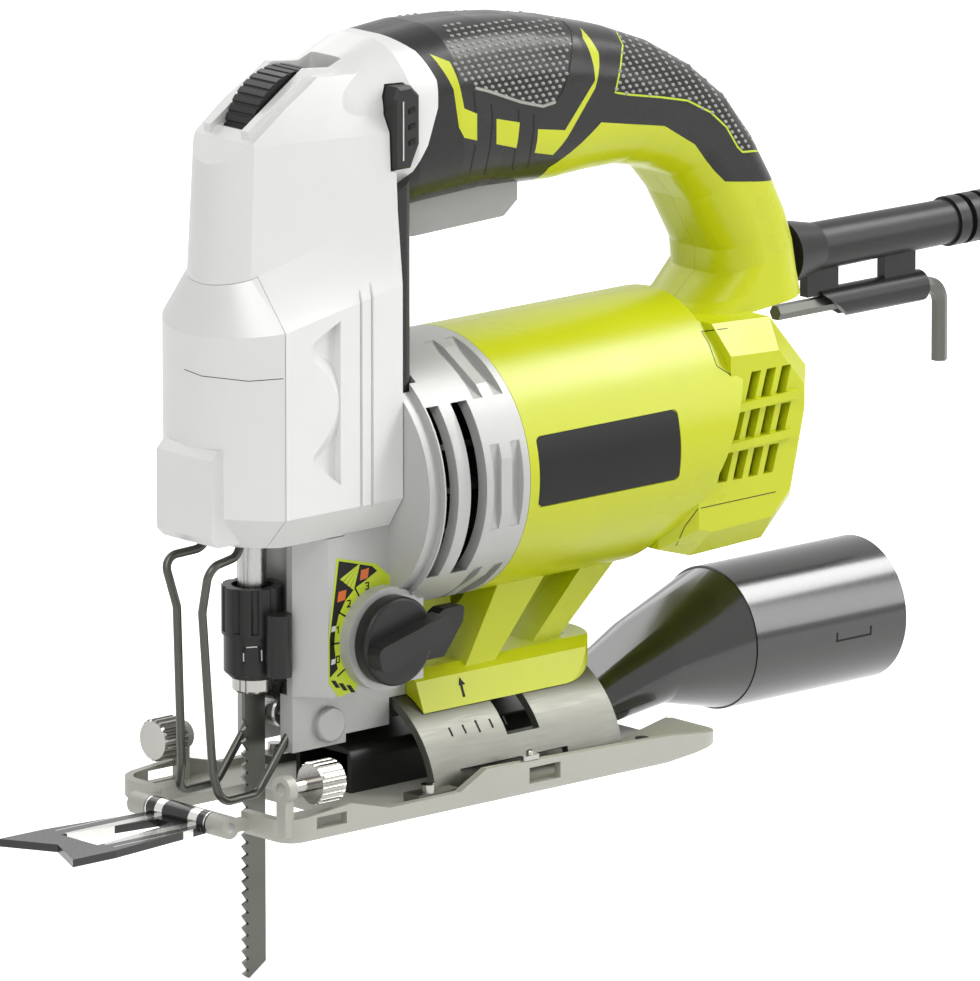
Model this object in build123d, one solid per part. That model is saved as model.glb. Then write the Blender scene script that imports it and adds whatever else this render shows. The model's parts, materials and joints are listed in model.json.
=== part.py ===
"""Orbital jigsaw with a D handle, a tilting shoe and a dust nozzle.

While modelling, x = 0 is the blade axis, +X points to the rear, -Y is the tool's left side and
z = 0 is the sole. The saved parts have their origin at the middle of the sole. All sizes are
millimetres.
"""
import math
import os
from functools import cache

from build123d import *

# Fits shared by every piece
RUN_FIT = 0.05          # radial gap of a turning or sliding shaft
SEAM = 0.2              # gap between two covers that meet edge to edge
SLIP = 0.3              # gap round a piece that moves or lifts out
PIERCE = 1.0            # how far a cutter runs past the face it opens

# Shoe: a pressed tray with a tilting cradle
SHOE_LENGTH = 162.0
SHOE_WIDTH = 73.0
SHOE_NOSE = 19.0        # sole ahead of the blade axis
SOLE_THICK = 3.0
SHOE_WALL = 2.4
WALL_HEIGHT = 10.0      # beside the cradle
WALL_DIP = 5.0          # cut-down stretch ahead of the cradle
WALL_FRONT = 8.6
WALL_FRONT_END = 4.0    # behind the blade axis
WALL_FALL = 2.0         # how much lower the wall is at the nose and where the tail starts
WALL_TAIL_FALL = 4.0    # and at the very end
DIP_LENGTH = 23.0       # dip ahead of the cradle's front
DIP_END = 3.0           # dip behind the cradle's front
DIP_RAMP = 10.0
SHOE_CORNER = 7.0
SOLE_EDGE = 1.6         # chamfer round the sole
TAIL_LENGTH = 20.0      # upswept rear end
TAIL_RISE = 3.6
TAIL_NOTCH = 8.0        # length of the open notch that the nozzle slides out over
NOTCH_MARGIN = 3.6      # room beside the duct's width
BLADE_GATE = 16.8       # half width of the cut-out round the blade and its guard wires
GATE_DEPTH = 12.0       # cut-out behind the blade axis
GUIDE_SLOT = (11.0, 3.4)
REAR_SLOT = (11.6, 4.6)
REAR_SLOT_X = 75.5

# Tilting cradle, turning about the X axis at sole level
TILT_RADIUS = 30.0
CRADLE_THICK = 2.5
CRADLE_FRONT = 41.0
CRADLE_LENGTH = 70.0
CRADLE_ARCH = 6.0       # height of the openings in the cradle's flanks
CRADLE_FOOT = 10.0      # length of a screwed tab
TAB_ROOT = 3.0          # part of the rear tab that is under the arch
TILT_SLOT_X = 77.0
TILT_SLOT = 12.0        # width of the slot for the lock bolt
TILT_SLOT_LOW = 15.0
BOLT_RADIUS = 3.0
BOLT_HEAD = (5.0, 3.6)
CLAMP_THICK = 2.5
CLAMP_HALF = 9.0

# Edge guide screws
KNURL_RADIUS = 6.0
KNURL_LENGTH = 8.5
KNURL_FRONT = -8.0      # front face of both knobs
KNURL_RIDGES = 20
SCREW_RADIUS = 2.0
SCREW_Y = 33.0
SCREW_Z = 15.5
BOSS_RADIUS = 3.8
BOSS_LENGTH = 3.0
SCREW_NECK = 0.5        # bare shank behind the right knob

# Fold-out cut-line sight
SIGHT_LENGTH = 53.0
SIGHT_WIDTH = 31.0
SIGHT_THICK = 2.2
BARREL_RADIUS = 3.2
BARREL_GAP = 3.3        # clear of the shoe's front wall
BARREL_HALF = 12.6
SIGHT_TAPER = 1.5       # how far the arm's root stays inside the barrel's ends
SIGHT_WEB = 3.0         # between the barrel and the window
KNUCKLE = 7.0
PIN_RADIUS = 1.5

# Dust duct and nozzle, carried by the shoe
DUCT_HALF = 11.5
DUCT_HEIGHT = 12.5
DUCT_WALL = 1.6
DUCT_FRONT = 26.0
DUCT_REAR = 116.0
NOZZLE_RADIUS = 20.5
NOZZLE_WALL = 2.0
NOZZLE_Z = 22.0
NOZZLE_TUBE = 57.0
NOZZLE_PLUG = 10.0
NOZZLE_ROUND = 0.98     # how round the neck's ends are
NOZZLE_LIP = 0.4        # step where the cone meets the tube
# Distance behind the duct, lowest and highest point, half width
NOZZLE_STATIONS = [
    (0.0, SOLE_THICK + SLIP, SOLE_THICK + DUCT_HEIGHT, DUCT_HALF),
    (8.0, SOLE_THICK + 2.2, SOLE_THICK + DUCT_HEIGHT + 3.9, DUCT_HALF + 1.0),
    (29.0, WALL_HEIGHT - 1.5, WALL_HEIGHT + 19.5, DUCT_HALF + 5.0),
    (55.0, NOZZLE_Z - NOZZLE_RADIUS + NOZZLE_LIP, NOZZLE_Z + NOZZLE_RADIUS - NOZZLE_LIP,
     NOZZLE_RADIUS - NOZZLE_LIP),
]

# Saddle of the housing, riding on the cradle
SADDLE_HALF = 18.9      # its edges stay over the tray when the shoe is tilted
SADDLE_CROWN = 4.2      # thickness over the middle of the cradle
SADDLE_OVERHANG = 7.0
SADDLE_BEVEL = (3.4, 2.5)   # inset of the lower bevel, and its drop below the top
SADDLE_TOP = 6.9        # inset of the flat top
FRONT_STRUT = [(66.0, 33.0), (77.0, 33.0), (97.0, 56.0), (79.0, 56.0)]
FRONT_STRUT_HALF = 14.0
REAR_STRUT = [(94.0, 33.0), (104.0, 33.0), (130.0, 56.0), (117.0, 56.0)]
REAR_STRUT_HALF = 9.0

# Motor, on an axis along X
MOTOR_Z = 89.2
BARREL_R = 37.6         # outside of the ring and the motor barrel
BARREL_WALL = 3.0
RING_FRONT = 37.5
RING_LENGTH = 31.5
RING_WALL = 3.6
RING_WINDOWS = [(0.5, 4.5), (9.5, 6.0)]     # distance behind the ring's front, width
WINDOW_HALF = 24.0      # half height of the windows
POCKET = (11.0, 24.0, 2.2)                  # along X, round the ring, deep
POCKET_EDGE = 2.5       # rim between a pocket and the barrel
POCKET_RIB = (4.0, 1.4)                     # width and height of the rib in a pocket
POCKET_TURN = 58.0      # degrees between pockets
BARREL_END = 153.0
# Slanted end of the barrel, where the vented rear end starts
BARREL_CUT = [
    (150.0, 135.0), (146.5, 119.0), (148.0, 108.0), (152.0, 105.0), (140.5, 79.0), (137.0, 72.0),
    (138.5, 69.7), (127.0, 59.0), (125.0, 40.0), (160.0, 40.0), (160.0, 135.0),
]
REAR_OUTLINE = [
    (128.0, 121.0), (170.0, 119.0), (184.0, 103.0), (184.0, 92.0), (178.0, 66.5), (167.0, 56.0),
    (140.0, 55.0), (128.0, 58.5),
]
REAR_HALF = 33.5        # half width of the faceted rear end
BRUSH_ROOM = (22.0, 18.0)   # room below and above the motor axis at the brushes
BRUSH_ROOM_END = 9.0    # behind the rear bearing's front
REAR_BOSS = (2.0, 12.0)     # start ahead of the rear bearing's front, end behind it
REAR_BORE = (4.0, 3.0)  # start ahead of the rear bearing, end behind it
PLATE = (53.0, 20.0, 0.4)
PLATE_CORNER = 1.6
PLATE_X = 99.0
PLATE_Z = 91.0
REAR_BEVEL = 8.0
VENT_ROWS = [(153.5, 102.5, 3), (147.5, 91.8, 4), (143.0, 80.6, 4)]
VENT_PITCH = 5.8
VENT_WIDTH = 3.6
VENT_RISE = 4.0         # half height of a slot
VENT_LEAN = 2.4
REAR_FRONT = 148.0      # where the top of the rear end leaves the barrel
BAR_PLACES = [(143.0, 97.1), (140.5, 86.2)]
BAR_LENGTH = 30.0
BAR_POINT = 6.0         # length of the pointed front
BAR_RISE = 1.0
BAR_THICK = 2.4
BAR_PROUD = 1.4
SHAFT_RADIUS = 4.0
SHAFT_ROOM = 1.0        # gap round the shaft in the gear case
SHAFT_STUB = 2.0        # shaft behind the rear bearing
BEARING_RADIUS = 11.0
SEAL_HALF = 1.6
SEAL_DEEP = 0.6
BEARING_WIDTH = 7.0
BEARING_BOSS = 3.0      # wall round a bearing
REAR_BEARING_RADIUS = 9.5
REAR_BEARING_X = 163.0
CORE_X = 88.0
CORE_LENGTH = 40.0
CORE_RADIUS = 19.5
CORE_SLOTS = 12
CORE_SLOT = (2.4, 7.0)  # width and depth
AIR_GAP = 0.7
COIL_LENGTH = 7.0
COIL_INSET = 2.0        # inside the core's edge
COIL_BORE = 4.0         # room round the shaft
FIELD_INSET = 1.0
FIELD_BORE = 3.0
COMMUTATOR_X = 142.0
COMMUTATOR_LENGTH = 14.0
COMMUTATOR_RADIUS = 11.0
COMMUTATOR_SLOT = (0.6, 1.2)
BRUSH = (6.0, 5.0)      # along the shaft, along Z
BRUSH_LENGTH = 13.0
HOLDER_WALL = 1.6
HOLDER_SETBACK = 2.0    # bare end of a brush
FAN_X = 41.5
FAN_WIDTH = 21.5
FAN_GAP = 1.5           # room round the fan
FAN_DISC = 2.0
FAN_HUB = 9.0
VANE_THICK = 1.6
FAN_RADIUS = 31.0
FAN_BLADES = 16

# Gears and crank
MODULE = 0.7
ADDENDUM = 0.9          # in modules
DEDENDUM = 1.3
TOOTH_SHARE = 0.8       # tooth against a full half pitch
TIP_SHARE = 0.5         # half width of a tooth's tip and root against its pitch line
ROOT_SHARE = 1.5
PINION_ROOM = 2.0       # gap round the pinion
PINION_TEETH = 10
GEAR_TEETH = 54
GEAR_X = 8.0
GEAR_WIDTH = 6.0
PINION_LENGTH = 8.0
STROKE = 20.0
CRANK_RADIUS = STROKE / 2
CRANK_PIN_RADIUS = 3.5
AXLE_RADIUS = 4.0
AXLE_LENGTH = 22.0
AXLE_COLLAR = 2.0
CRANK_GAP = 0.4         # between the crank pin's end and the rod
GEAR_Z = MOTOR_Z + MODULE * (PINION_TEETH + GEAR_TEETH) / 2

# Plunger, blade clamp and blade
ROD_RADIUS = 4.0
ROD_TOP = 150.0
YOKE_HALF = 17.0
YOKE_THICK = 6.0
YOKE_WALL = 2.3
BUSH_RADIUS = 6.0
LOWER_BUSH = (87.5, 94.6)
UPPER_BUSH = (133.0, 145.0)
HOLDER_RADIUS = 5.75
HOLDER_LOW = 34.7
HOLDER_HIGH = 63.0
HOLDER_EDGE = 0.6
ROD_SEAT = 52.0
COLLAR_RADIUS = 8.6
COLLAR_LOW = 38.6
COLLAR_STEP = 51.0
COLLAR_HIGH = 64.6
COLLAR_FLUTES = 10
COLLAR_NARROW = 0.6     # how much slimmer the plain lower part is
COLLAR_EDGE = 1.8
FLUTE_OUT = 0.5         # flute centres outside the sleeve
FLUTE_RADIUS = 1.2
FLUTE_END = 1.0         # above the step
POST_RADIUS = 3.6
POST_OUT = 11.0
POST_LOW = 40.5
POST_HIGH = 58.0
POST_MARGIN = 2.0       # post above and below its arm
BLADE_WIDTH = 8.0
BLADE_THICK = 1.2
BLADE_TIP = -46.8
SHANK_WIDTH = 6.4
TOOTH_PITCH = 3.3
TOOTH_DEPTH = 1.9
TEETH_TOP = 27.0
TOOTH_START = 0.5       # first tooth above the tip
TOOTH_POINT = 0.25      # point and gullet, as shares of the pitch
TOOTH_GULLET = 0.5
BLADE_RELIEF = 0.6      # plain front edge behind the tooth points

# Orbital action
ROLLER_RADIUS = 4.6
ROLLER_WIDTH = 7.0
ROLLER_Z = 27.7
ROLLER_EDGE = 0.5
ROLLER_X = BLADE_WIDTH / 2 + ROLLER_RADIUS + SLIP
ARM_PIVOT = (17.5, 24.2)
ARM_PIVOT_RADIUS = 2.5
FORK_THICK = 2.0
ARM_HUB = 2.0           # metal round the pivot
ARM_NOSE = 1.8          # metal round the roller pin
ARM_TAIL = (5.0, 4.0)   # length and height of the pad under the cam
ARM_TAIL_DROP = 4.0     # pad's top below the cam's axis
ARM_BRIDGE = (2.0, 5.0)     # lower corner of the bridge, from the pivot
PIVOT_CAP = 2.0
PIVOT_CAP_EDGE = 0.8
KNOB_X = 29.5
KNOB_Z = 48.4
KNOB_RADIUS = 12.5
KNOB_THICK = 4.7
KNOB_BASE = (14.5, 4.0)
KNOB_GRIP = (27.0, 7.5, 5.0)
KNOB_AIM = 14.0         # degrees that the grip bar rises to the rear
KNOB_EDGE = 1.2
KNOB_GRIP_SHIFT = 1.5   # grip bar's middle behind the axis
CAM_RADIUS = 4.0
CAM_REACH = 2.0         # cam past the arm
LEVER_PIVOT = (53.0, 44.0)
LEVER_PIN_RADIUS = 2.0
LEVER_PIN = (5.5, 2.0)  # reach outside and inside the foot's face
LEVER_THICK = 5.0       # from the foot's face
LEVER_EDGE = 1.0
LEVER_OUTLINE = [(-4.5, -6.0), (3.0, -6.0), (10.0, 3.0), (10.5, 7.5), (3.0, 7.5), (-4.5, 3.0)]
LEVER_EAR = (4.0, 5.0)  # behind the pivot, above and below it

# Gear case
CASE_HALF = 19.0
FOOT_HALF = 11.5
FOOT_FRONT = 4.5
FOOT_LOW = 18.0
FOOT_HEEL = 20.4        # underside behind the roller arm
FOOT_TOE = 24.0
FOOT_STEP = 34.0
FOOT_REAR = 46.0
BLOCK_FRONT = 17.0
BLOCK_REAR = 40.5
COLLAR_WAY = 10.2       # radius left clear for the clamp
GUIDE_RADIUS = 9.0
FOOT_FLARE = 6.5        # length of the slanted cheeks
BLOCK_DROP = 3.0        # block below the head's lower edge
BRACKET_GAP = 8.0       # upper bracket ahead of the head's rear
WEB_RISE = 2.0          # guide web above the motor axis
GEAR_ROOM = 0.6
ARM_WAY = 1.0           # arm's slot past the knob's axis

# Head
HEAD_REAR = 33.2
HEAD_LOW = 79.0
HEAD_HALF = 25.0
HEAD_FLOOR = 86.5
SHOULDER_HIGH = 157.5
SHOULDER_RISE = 18.0    # degrees that the shoulder rises to the rear
# Height, rise to the rear in degrees, nose, front corners, inset of the front and rear corners
HEAD_SECTIONS = [
    (HEAD_LOW, 0.0, -17.0, -6.0, 6.0, 6.0),
    (HEAD_LOW + 9.0, 0.0, -22.6, -9.2, 0.0, 0.0),
    (142.0, 10.0, -22.6, -9.2, 0.0, 0.0),
    (SHOULDER_HIGH, SHOULDER_RISE, -18.0, -11.5, 12.0, 2.0),
    (190.0, 0.0, -16.0, -9.5, 12.7, 3.0),
    (216.0, 0.0, -14.0, -7.5, 17.0, 17.0),
]
# Side view of the head's top, and the rest of the region above it
HEAD_TOP = [(-16.0, 185.0), (-10.0, 190.8), (2.0, 199.4), (14.0, 206.2), (27.0, 205.8), (36.0, 211.0)]
HEAD_ABOVE = [(HEAD_REAR + 5.0, 240.0), (-40.0, 240.0), (-40.0, 170.0)]
CHAMBER_HALF = 20.4
CHAMBER_FRONT = (2.0, 8.0)  # wide and narrow part of the gear chamber, ahead of the cover's seam
GROOVE = 1.0
GROOVE_PLACES = (17.5, 21.5)
BULGE_X = (0.5, 10.5)   # side pockets that show the gear housing
BULGE_Z = (95.0, 141.0)
BULGE_DEEP = 2.4
BULGE_SLANT = (8.0, 4.6)    # how much lower the pocket is in front, below and above
BULGE_CONE = (3.3, 0.4)     # cone past the head's side in front, and inside it at the rear
CHIN_HALF = 11.5
CHIN_X = (-24.6, -12.0)
CHIN_Z = (1.0, 28.0)    # above the head's lower edge
CHIN_BEVEL = 2.4
ROD_ROOM = 1.0          # gap round the rod above the upper bush
ROD_OVERRUN = 2.0
COVER_EDGE = -9.3       # seam between the lower front cover and the head
COVER_FRONT = -60.0     # ahead of the whole head
DIAL_X = 13.5
DIAL_Z = 188.6
DIAL_RADIUS = 19.0
DIAL_WIDTH = 11.0
DIAL_NOTCHES = 42
DIAL_NOTCH = 0.5
DIAL_RAIL = [(-9.0, 190.5), (-9.0, 193.8), (13.0, 208.2), (26.5, 206.8), (22.0, 198.0)]
DIAL_RAIL_Y = (3.6, 0.8)    # outer and inner face, from the dial's side
DIAL_WELL = [(-6.5, 193.0), (27.0, 197.0), (27.5, 212.0), (10.0, 218.0), (-7.5, 200.0)]
BOARD_HALF = 6.0
BOARD_THICK = 3.0
BOARD_LOW = 7.0         # below the dial's axis
BOARD_HIGH = 6.0
BUTTON = (9.5, 23.0, 8.0)
BUTTON_X = 36.5
BUTTON_Z = 191.0
BUTTON_OUT = 23.5
BUTTON_EDGE = 0.8
BUTTON_TRAVEL = 2.6

# Handle: x, z, dip of the path in degrees, depth across the path, width
HANDLE_STATIONS = [
    (12.0, 182.0, -12.0, 38.0, 28.0),
    (42.0, 189.0, -8.0, 49.0, 42.0),
    (75.0, 190.0, 1.0, 48.0, 41.0),
    (105.0, 187.0, 8.0, 45.0, 39.0),
    (133.9, 182.3, 21.0, 36.0, 37.0),
    (157.7, 170.3, 38.0, 28.0, 35.0),
    (172.5, 149.5, 60.0, 27.0, 34.0),
    (179.0, 133.0, 74.0, 29.0, 34.0),
    (172.0, 119.0, 85.0, 50.0, 36.0),
]
HANDLE_ROUND = 0.40     # corner radius as a share of the smaller side
# Rear edge of the silver front of the handle, seen from the side, from its top
FRONT_EDGE = [
    (36.0, 240.0), (39.3, 216.7), (46.6, 209.8), (49.8, 202.0), (49.7, 194.4), (46.1, 184.4), (41.2, 177.6),
]
FRONT_LOW = 172.5
# Lower edge of the rubber, from its rear end to behind the trigger
GRIP_EDGE = [
    (177.4, 155.1), (161.0, 157.4), (157.0, 161.0), (148.8, 169.8), (136.7, 176.8), (112.0, 181.4),
    (95.5, 170.4), (95.5, 150.0),
]
GRIP_REAR = 215.0       # past the handle's rear
GRIP_BASE = 150.0
GRIP_FRONT = 60.0       # past the leg's rear face
SKY = 240.0             # above everything
# Windows in the rubber where the shell shows through
ACCENTS = [
    [(50.5, 208.7), (55.9, 206.1), (59.3, 192.9), (64.2, 190.7), (64.2, 183.2), (59.3, 184.7),
     (57.3, 187.9), (55.4, 198.7)],
    [(71.7, 188.2), (80.6, 185.9), (79.6, 178.8), (71.7, 181.1)],
    [(87.6, 183.0), (98.0, 181.2), (109.5, 193.6), (109.5, 204.9), (112.0, 206.8), (113.0, 200.6),
     (109.5, 191.3), (98.5, 178.5), (94.6, 174.5), (87.1, 176.3)],
]
GRIP_SKIN = 2.0
LEG_THICK = 6.2
LEG_HALF = 22.5
LEG_LOW = 116.0
LEG_HIGH = 186.0
LEG_CORE_DROP = 9.0     # how far the core stays below the leg's top, for each unit of skin

# Trigger and switch
TRIGGER_HALF = 10.0
TRIGGER_PIVOT = (49.5, 172.0)
TRIGGER_LOW = 156.5
TRIGGER_FRONT = 45.5
TRIGGER_REAR = 89.0
TRIGGER_RISE = 3.5      # top above the pivot
TRIGGER_TOE = 4.0       # bevel at the front
TRIGGER_HEEL = (5.0, 1.0)   # bevel and rise at the rear
TRIGGER_EDGE = 1.5
TRIGGER_ROOM = 10.0     # slot below the trigger
TRIGGER_PIN = 3.0       # pin past the trigger's sides
SWITCH = (33.0, 22.0, 25.0)
SWITCH_LOW = 178.4

# Cord guard and key
GUARD_Z = 129.0
GUARD_FRONT = 183.0
GUARD_END = 286.0
GUARD_RADIUS = 7.2
GUARD_FLANGE = (9.5, 5.0)
CORD_RADIUS = 3.9
KEY_FLATS = 4.0
KEY_Z = 112.0
KEY_FRONT = 196.0
KEY_REAR = 260.0
KEY_LOW = 89.0
KEY_BEND = 6.0
CLIP_X = (212.0, 252.0)
CLIP_SLANT = 11.0       # the clip's mouth is cut back at the bottom
CLIP_POSTS = [(207.0, 219.0), (237.0, 249.0)]
GUARD_BELL = 12.0       # length of the flared base
GUARD_BELL_START = 10.0     # behind the flange
GUARD_BELL_STEP = 0.2
GUARD_TAPER = 0.8
GUARD_RIBS = 4
GUARD_RIB_PITCH = 6.0
GUARD_RIB_WIDTH = 4.0
GUARD_RIB_DEEP = 1.6
CLIP_WALL = 2.2
CLIP_MOUTH = 1.5        # half width
CLIP_POST_HALF = 1.6
CLIP_POST_LOW = 3.0     # above the key's axis

# Guard wires beside the blade
WIRE_RADIUS = 1.2
WIRE_BEND = 4.0
# Corners of the right wire, from the head's underside to the foot
WIRE_CORNERS = [
    (-10.5, 7.0, HEAD_LOW + 3.0),
    (-10.5, 7.0, HEAD_LOW - 3.5),
    (-24.0, 9.5, HEAD_LOW - 4.7),
    (-22.8, 5.3, 61.0),
    (-20.3, 6.5, 16.0),
    (-19.4, 8.8, SOLE_THICK + 4.4),
    (-6.0, 8.6, SOLE_THICK + 4.8),
    (FOOT_FRONT + 3.0, 8.6, FOOT_LOW + 7.0),
]

# Fasteners
FASTENER_RADIUS = 1.8
FASTENER_HEAD = (3.4, 2.4)
SCREW_GRIP = 8.0        # thread in the far half
SCREW_HEAD_Y = 7.0      # seat of the heads in the right half
HOUSING_SCREW_PLACES = [(128.0, 182.0), (166.0, 155.0), (176.0, 116.0), (150.0, 57.5), (108.0, 33.5)]
HEAD_SCREW_PLACES = [(27.0, HEAD_LOW + 12.0), (27.0, UPPER_BUSH[0] - 5.0)]
BOLT_TOP = 36.0
BOLT_WAY = 60.0
CLAMP_MARGIN = 4.0      # clamp plate past the slot's sides
FAR = 400.0             # past the whole tool

SHOE_REAR = SHOE_LENGTH - SHOE_NOSE
SHOE_CENTRE = (SHOE_REAR - SHOE_NOSE) / 2
SHOE_HALF = SHOE_WIDTH / 2
SHELL_R = BARREL_R - BARREL_WALL
RING_REAR = RING_FRONT + RING_LENGTH


def block(x, y, z):
    """Box between pairs of limits."""
    middle = Pos((x[0] + x[1]) / 2, (y[0] + y[1]) / 2, (z[0] + z[1]) / 2)
    return middle * Box(x[1] - x[0], y[1] - y[0], z[1] - z[0])


def rod_x(radius, x, y=0.0, z=MOTOR_Z):
    return Pos((x[0] + x[1]) / 2, y, z) * Rot(0, 90, 0) * Cylinder(radius, x[1] - x[0])


def rod_y(radius, y, x, z):
    return Pos(x, (y[0] + y[1]) / 2, z) * Rot(90, 0, 0) * Cylinder(radius, y[1] - y[0])


def rod_z(radius, z, x=0.0, y=0.0):
    return Pos(x, y, (z[0] + z[1]) / 2) * Cylinder(radius, z[1] - z[0])


def tube_x(outer, inner, x, y=0.0, z=MOTOR_Z):
    past = (x[0] - PIERCE, x[1] + PIERCE)
    return rod_x(outer, x, y, z) - rod_x(inner, past, y, z)


def side_prism(outline, y):
    """Solid with an XZ outline, between two y limits."""
    face = make_face(Plane.XZ * Polyline(*outline, close=True))
    return Pos(0, y[0], 0) * extrude(face, y[1] - y[0], dir=(0, 1, 0))


def plan_prism(outline, high):
    """Solid with an XY outline, standing on z = 0."""
    return extrude(make_face(Polyline(*outline, close=True)), high, dir=(0, 0, 1))


def both_sides(shape):
    return shape + mirror(shape, about=Plane.XZ)


def polar(radius, angle):
    return radius * math.cos(angle), radius * math.sin(angle)


# Shoe and what it carries

def wall_profile():
    """Region above the tray's walls, seen from the side."""
    front = -SHOE_NOSE
    rear = SHOE_REAR
    dip_end = CRADLE_FRONT + DIP_END
    return [
        (front - PIERCE, WALL_FRONT - WALL_FALL),
        (WALL_FRONT_END, WALL_FRONT),
        (CRADLE_FRONT - DIP_LENGTH, WALL_DIP),
        (dip_end, WALL_DIP),
        (dip_end + DIP_RAMP, WALL_HEIGHT),
        (rear - TAIL_LENGTH, WALL_HEIGHT - WALL_FALL),
        (rear + PIERCE, WALL_HEIGHT - WALL_TAIL_FALL),
        (rear + PIERCE, 2 * WALL_HEIGHT),
        (front - PIERCE, 2 * WALL_HEIGHT),
    ]


def shoe_plate():
    top = WALL_HEIGHT + PIERCE
    outline = Pos(SHOE_CENTRE, 0) * RectangleRounded(SHOE_LENGTH, SHOE_WIDTH, SHOE_CORNER)
    inner_corner = SHOE_CORNER - SHOE_WALL
    hollow = Pos(SHOE_CENTRE, 0) * RectangleRounded(SHOE_LENGTH - 2 * SHOE_WALL, SHOE_WIDTH - 2 * SHOE_WALL,
                                                    inner_corner)
    tray = extrude(outline, top)
    tray = chamfer(tray.faces().sort_by(Axis.Z)[0].edges(), SOLE_EDGE)
    tray -= Pos(0, 0, SOLE_THICK) * extrude(hollow, top)
    tray -= side_prism(wall_profile(), (-SHOE_WIDTH, SHOE_WIDTH))
    tail = SHOE_REAR - TAIL_LENGTH
    ramp = [(tail, -PIERCE), (SHOE_REAR + PIERCE, -PIERCE), (SHOE_REAR + PIERCE, TAIL_RISE), (tail, 0)]
    floor = [(tail, SOLE_THICK - PIERCE), (SHOE_REAR - SHOE_WALL, SOLE_THICK - PIERCE),
             (SHOE_REAR - SHOE_WALL, SOLE_THICK + TAIL_RISE), (tail, SOLE_THICK)]
    tray += side_prism(floor, (-SHOE_HALF + SHOE_WALL, SHOE_HALF - SHOE_WALL))
    tray -= side_prism(ramp, (-SHOE_WIDTH, SHOE_WIDTH))
    notch = DUCT_HALF + NOTCH_MARGIN
    tray -= block((tail, SHOE_REAR + PIERCE), (-notch, notch), (SOLE_THICK, top))
    tray -= block((SHOE_REAR - TAIL_NOTCH, SHOE_REAR + PIERCE), (-notch, notch), (-PIERCE, top))
    tray -= block((-SHOE_NOSE - PIERCE, GATE_DEPTH), (-BLADE_GATE, BLADE_GATE), (-PIERCE, top))
    slot_z = SOLE_THICK + GUIDE_SLOT[1] / 2
    slot_x = -SHOE_NOSE / 6
    tray -= Pos(slot_x, 0, slot_z + SLIP) * Box(GUIDE_SLOT[0], 2 * SHOE_WIDTH, GUIDE_SLOT[1])
    rear_slot = Box(REAR_SLOT[0], 2 * SHOE_WIDTH, REAR_SLOT[1])
    tray -= Pos(REAR_SLOT_X, 0, SOLE_THICK + REAR_SLOT[1] / 2) * rear_slot
    return tray + screw_boss(-1) + screw_boss(1) + both_sides(sight_knuckle())


def boss_span(side):
    """The left screw points forward and the right one to the rear."""
    front = -SHOE_NOSE + SLIP
    if side > 0:
        front = KNURL_FRONT + KNURL_LENGTH + SCREW_NECK
    return front, front + BOSS_LENGTH


def screw_boss(side):
    """Upright eye that a guide screw threads through."""
    span = boss_span(side)
    y = side * SCREW_Y
    eye = rod_x(BOSS_RADIUS, span, y, SCREW_Z)
    web = block(span, (y - BOSS_RADIUS / 2, y + BOSS_RADIUS / 2), (SOLE_THICK - PIERCE, SCREW_Z))
    past = (span[0] - PIERCE, span[1] + PIERCE)
    return eye + web - rod_x(SCREW_RADIUS + RUN_FIT, past, y, SCREW_Z)


def sight_axis():
    return -SHOE_NOSE - BARREL_GAP - BARREL_RADIUS, BARREL_RADIUS + SLIP


def sight_knuckle():
    """Hinge eye on the left of the shoe's front edge."""
    x, z = sight_axis()
    span = (-BARREL_HALF - SLIP - KNUCKLE, -BARREL_HALF - SLIP)
    eye = rod_y(BARREL_RADIUS, span, x, z)
    ear_y = (span[0], -BLADE_GATE)
    ear = block((x, -SHOE_NOSE + SHOE_WALL), ear_y, (z - BARREL_RADIUS / 2, z + BARREL_RADIUS / 2))
    past = (span[0] - PIERCE, span[1] + PIERCE)
    return eye + ear - rod_y(PIN_RADIUS, past, x, z)


def sight_pin():
    x, z = sight_axis()
    reach = BARREL_HALF + SLIP + KNUCKLE
    return rod_y(PIN_RADIUS, (-reach, reach), x, z)


def cut_sight():
    """Two-rail arm with a notched tip, turning on the front pin."""
    x, z = sight_axis()
    tip = x - SIGHT_LENGTH
    half = SIGHT_WIDTH / 2
    root = BARREL_HALF - SIGHT_TAPER
    rail = half / 2
    start = x - BARREL_RADIUS - SIGHT_WEB
    neck = tip + half
    outline = [(x, -root), (neck, -half), (tip, -half), (tip + rail, 0), (tip, half), (neck, half), (x, root)]
    window = [(start, -root + rail), (neck, -half + rail), (neck, half - rail), (start, root - rail)]
    plate = plan_prism(outline, SIGHT_THICK) - plan_prism(window, SIGHT_THICK)
    plate = Pos(0, 0, z - BARREL_RADIUS + SLIP) * plate
    barrel = rod_y(BARREL_RADIUS, (-BARREL_HALF, BARREL_HALF), x, z)
    return plate + barrel - rod_y(PIN_RADIUS + RUN_FIT, (-SHOE_HALF, SHOE_HALF), x, z)


def guide_screw(side):
    """Knurled thumb screw along X."""
    front = KNURL_FRONT
    rear = front + KNURL_LENGTH
    y = side * SCREW_Y
    knob = rod_x(KNURL_RADIUS, (front, rear), y, SCREW_Z)
    knob = chamfer(knob.edges(), KNURL_RADIUS / 10)
    groove = KNURL_RADIUS / 10
    for i in range(KNURL_RIDGES):
        across, up = polar(KNURL_RADIUS, 2 * math.pi * i / KNURL_RIDGES)
        knob -= rod_x(groove, (front - PIERCE, rear + PIERCE), y + across, SCREW_Z + up)
    boss = boss_span(side)
    shank = (min(boss[0], rear - PIERCE), max(boss[1], front + PIERCE))
    return knob + rod_x(SCREW_RADIUS, shank, y, SCREW_Z)


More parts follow.
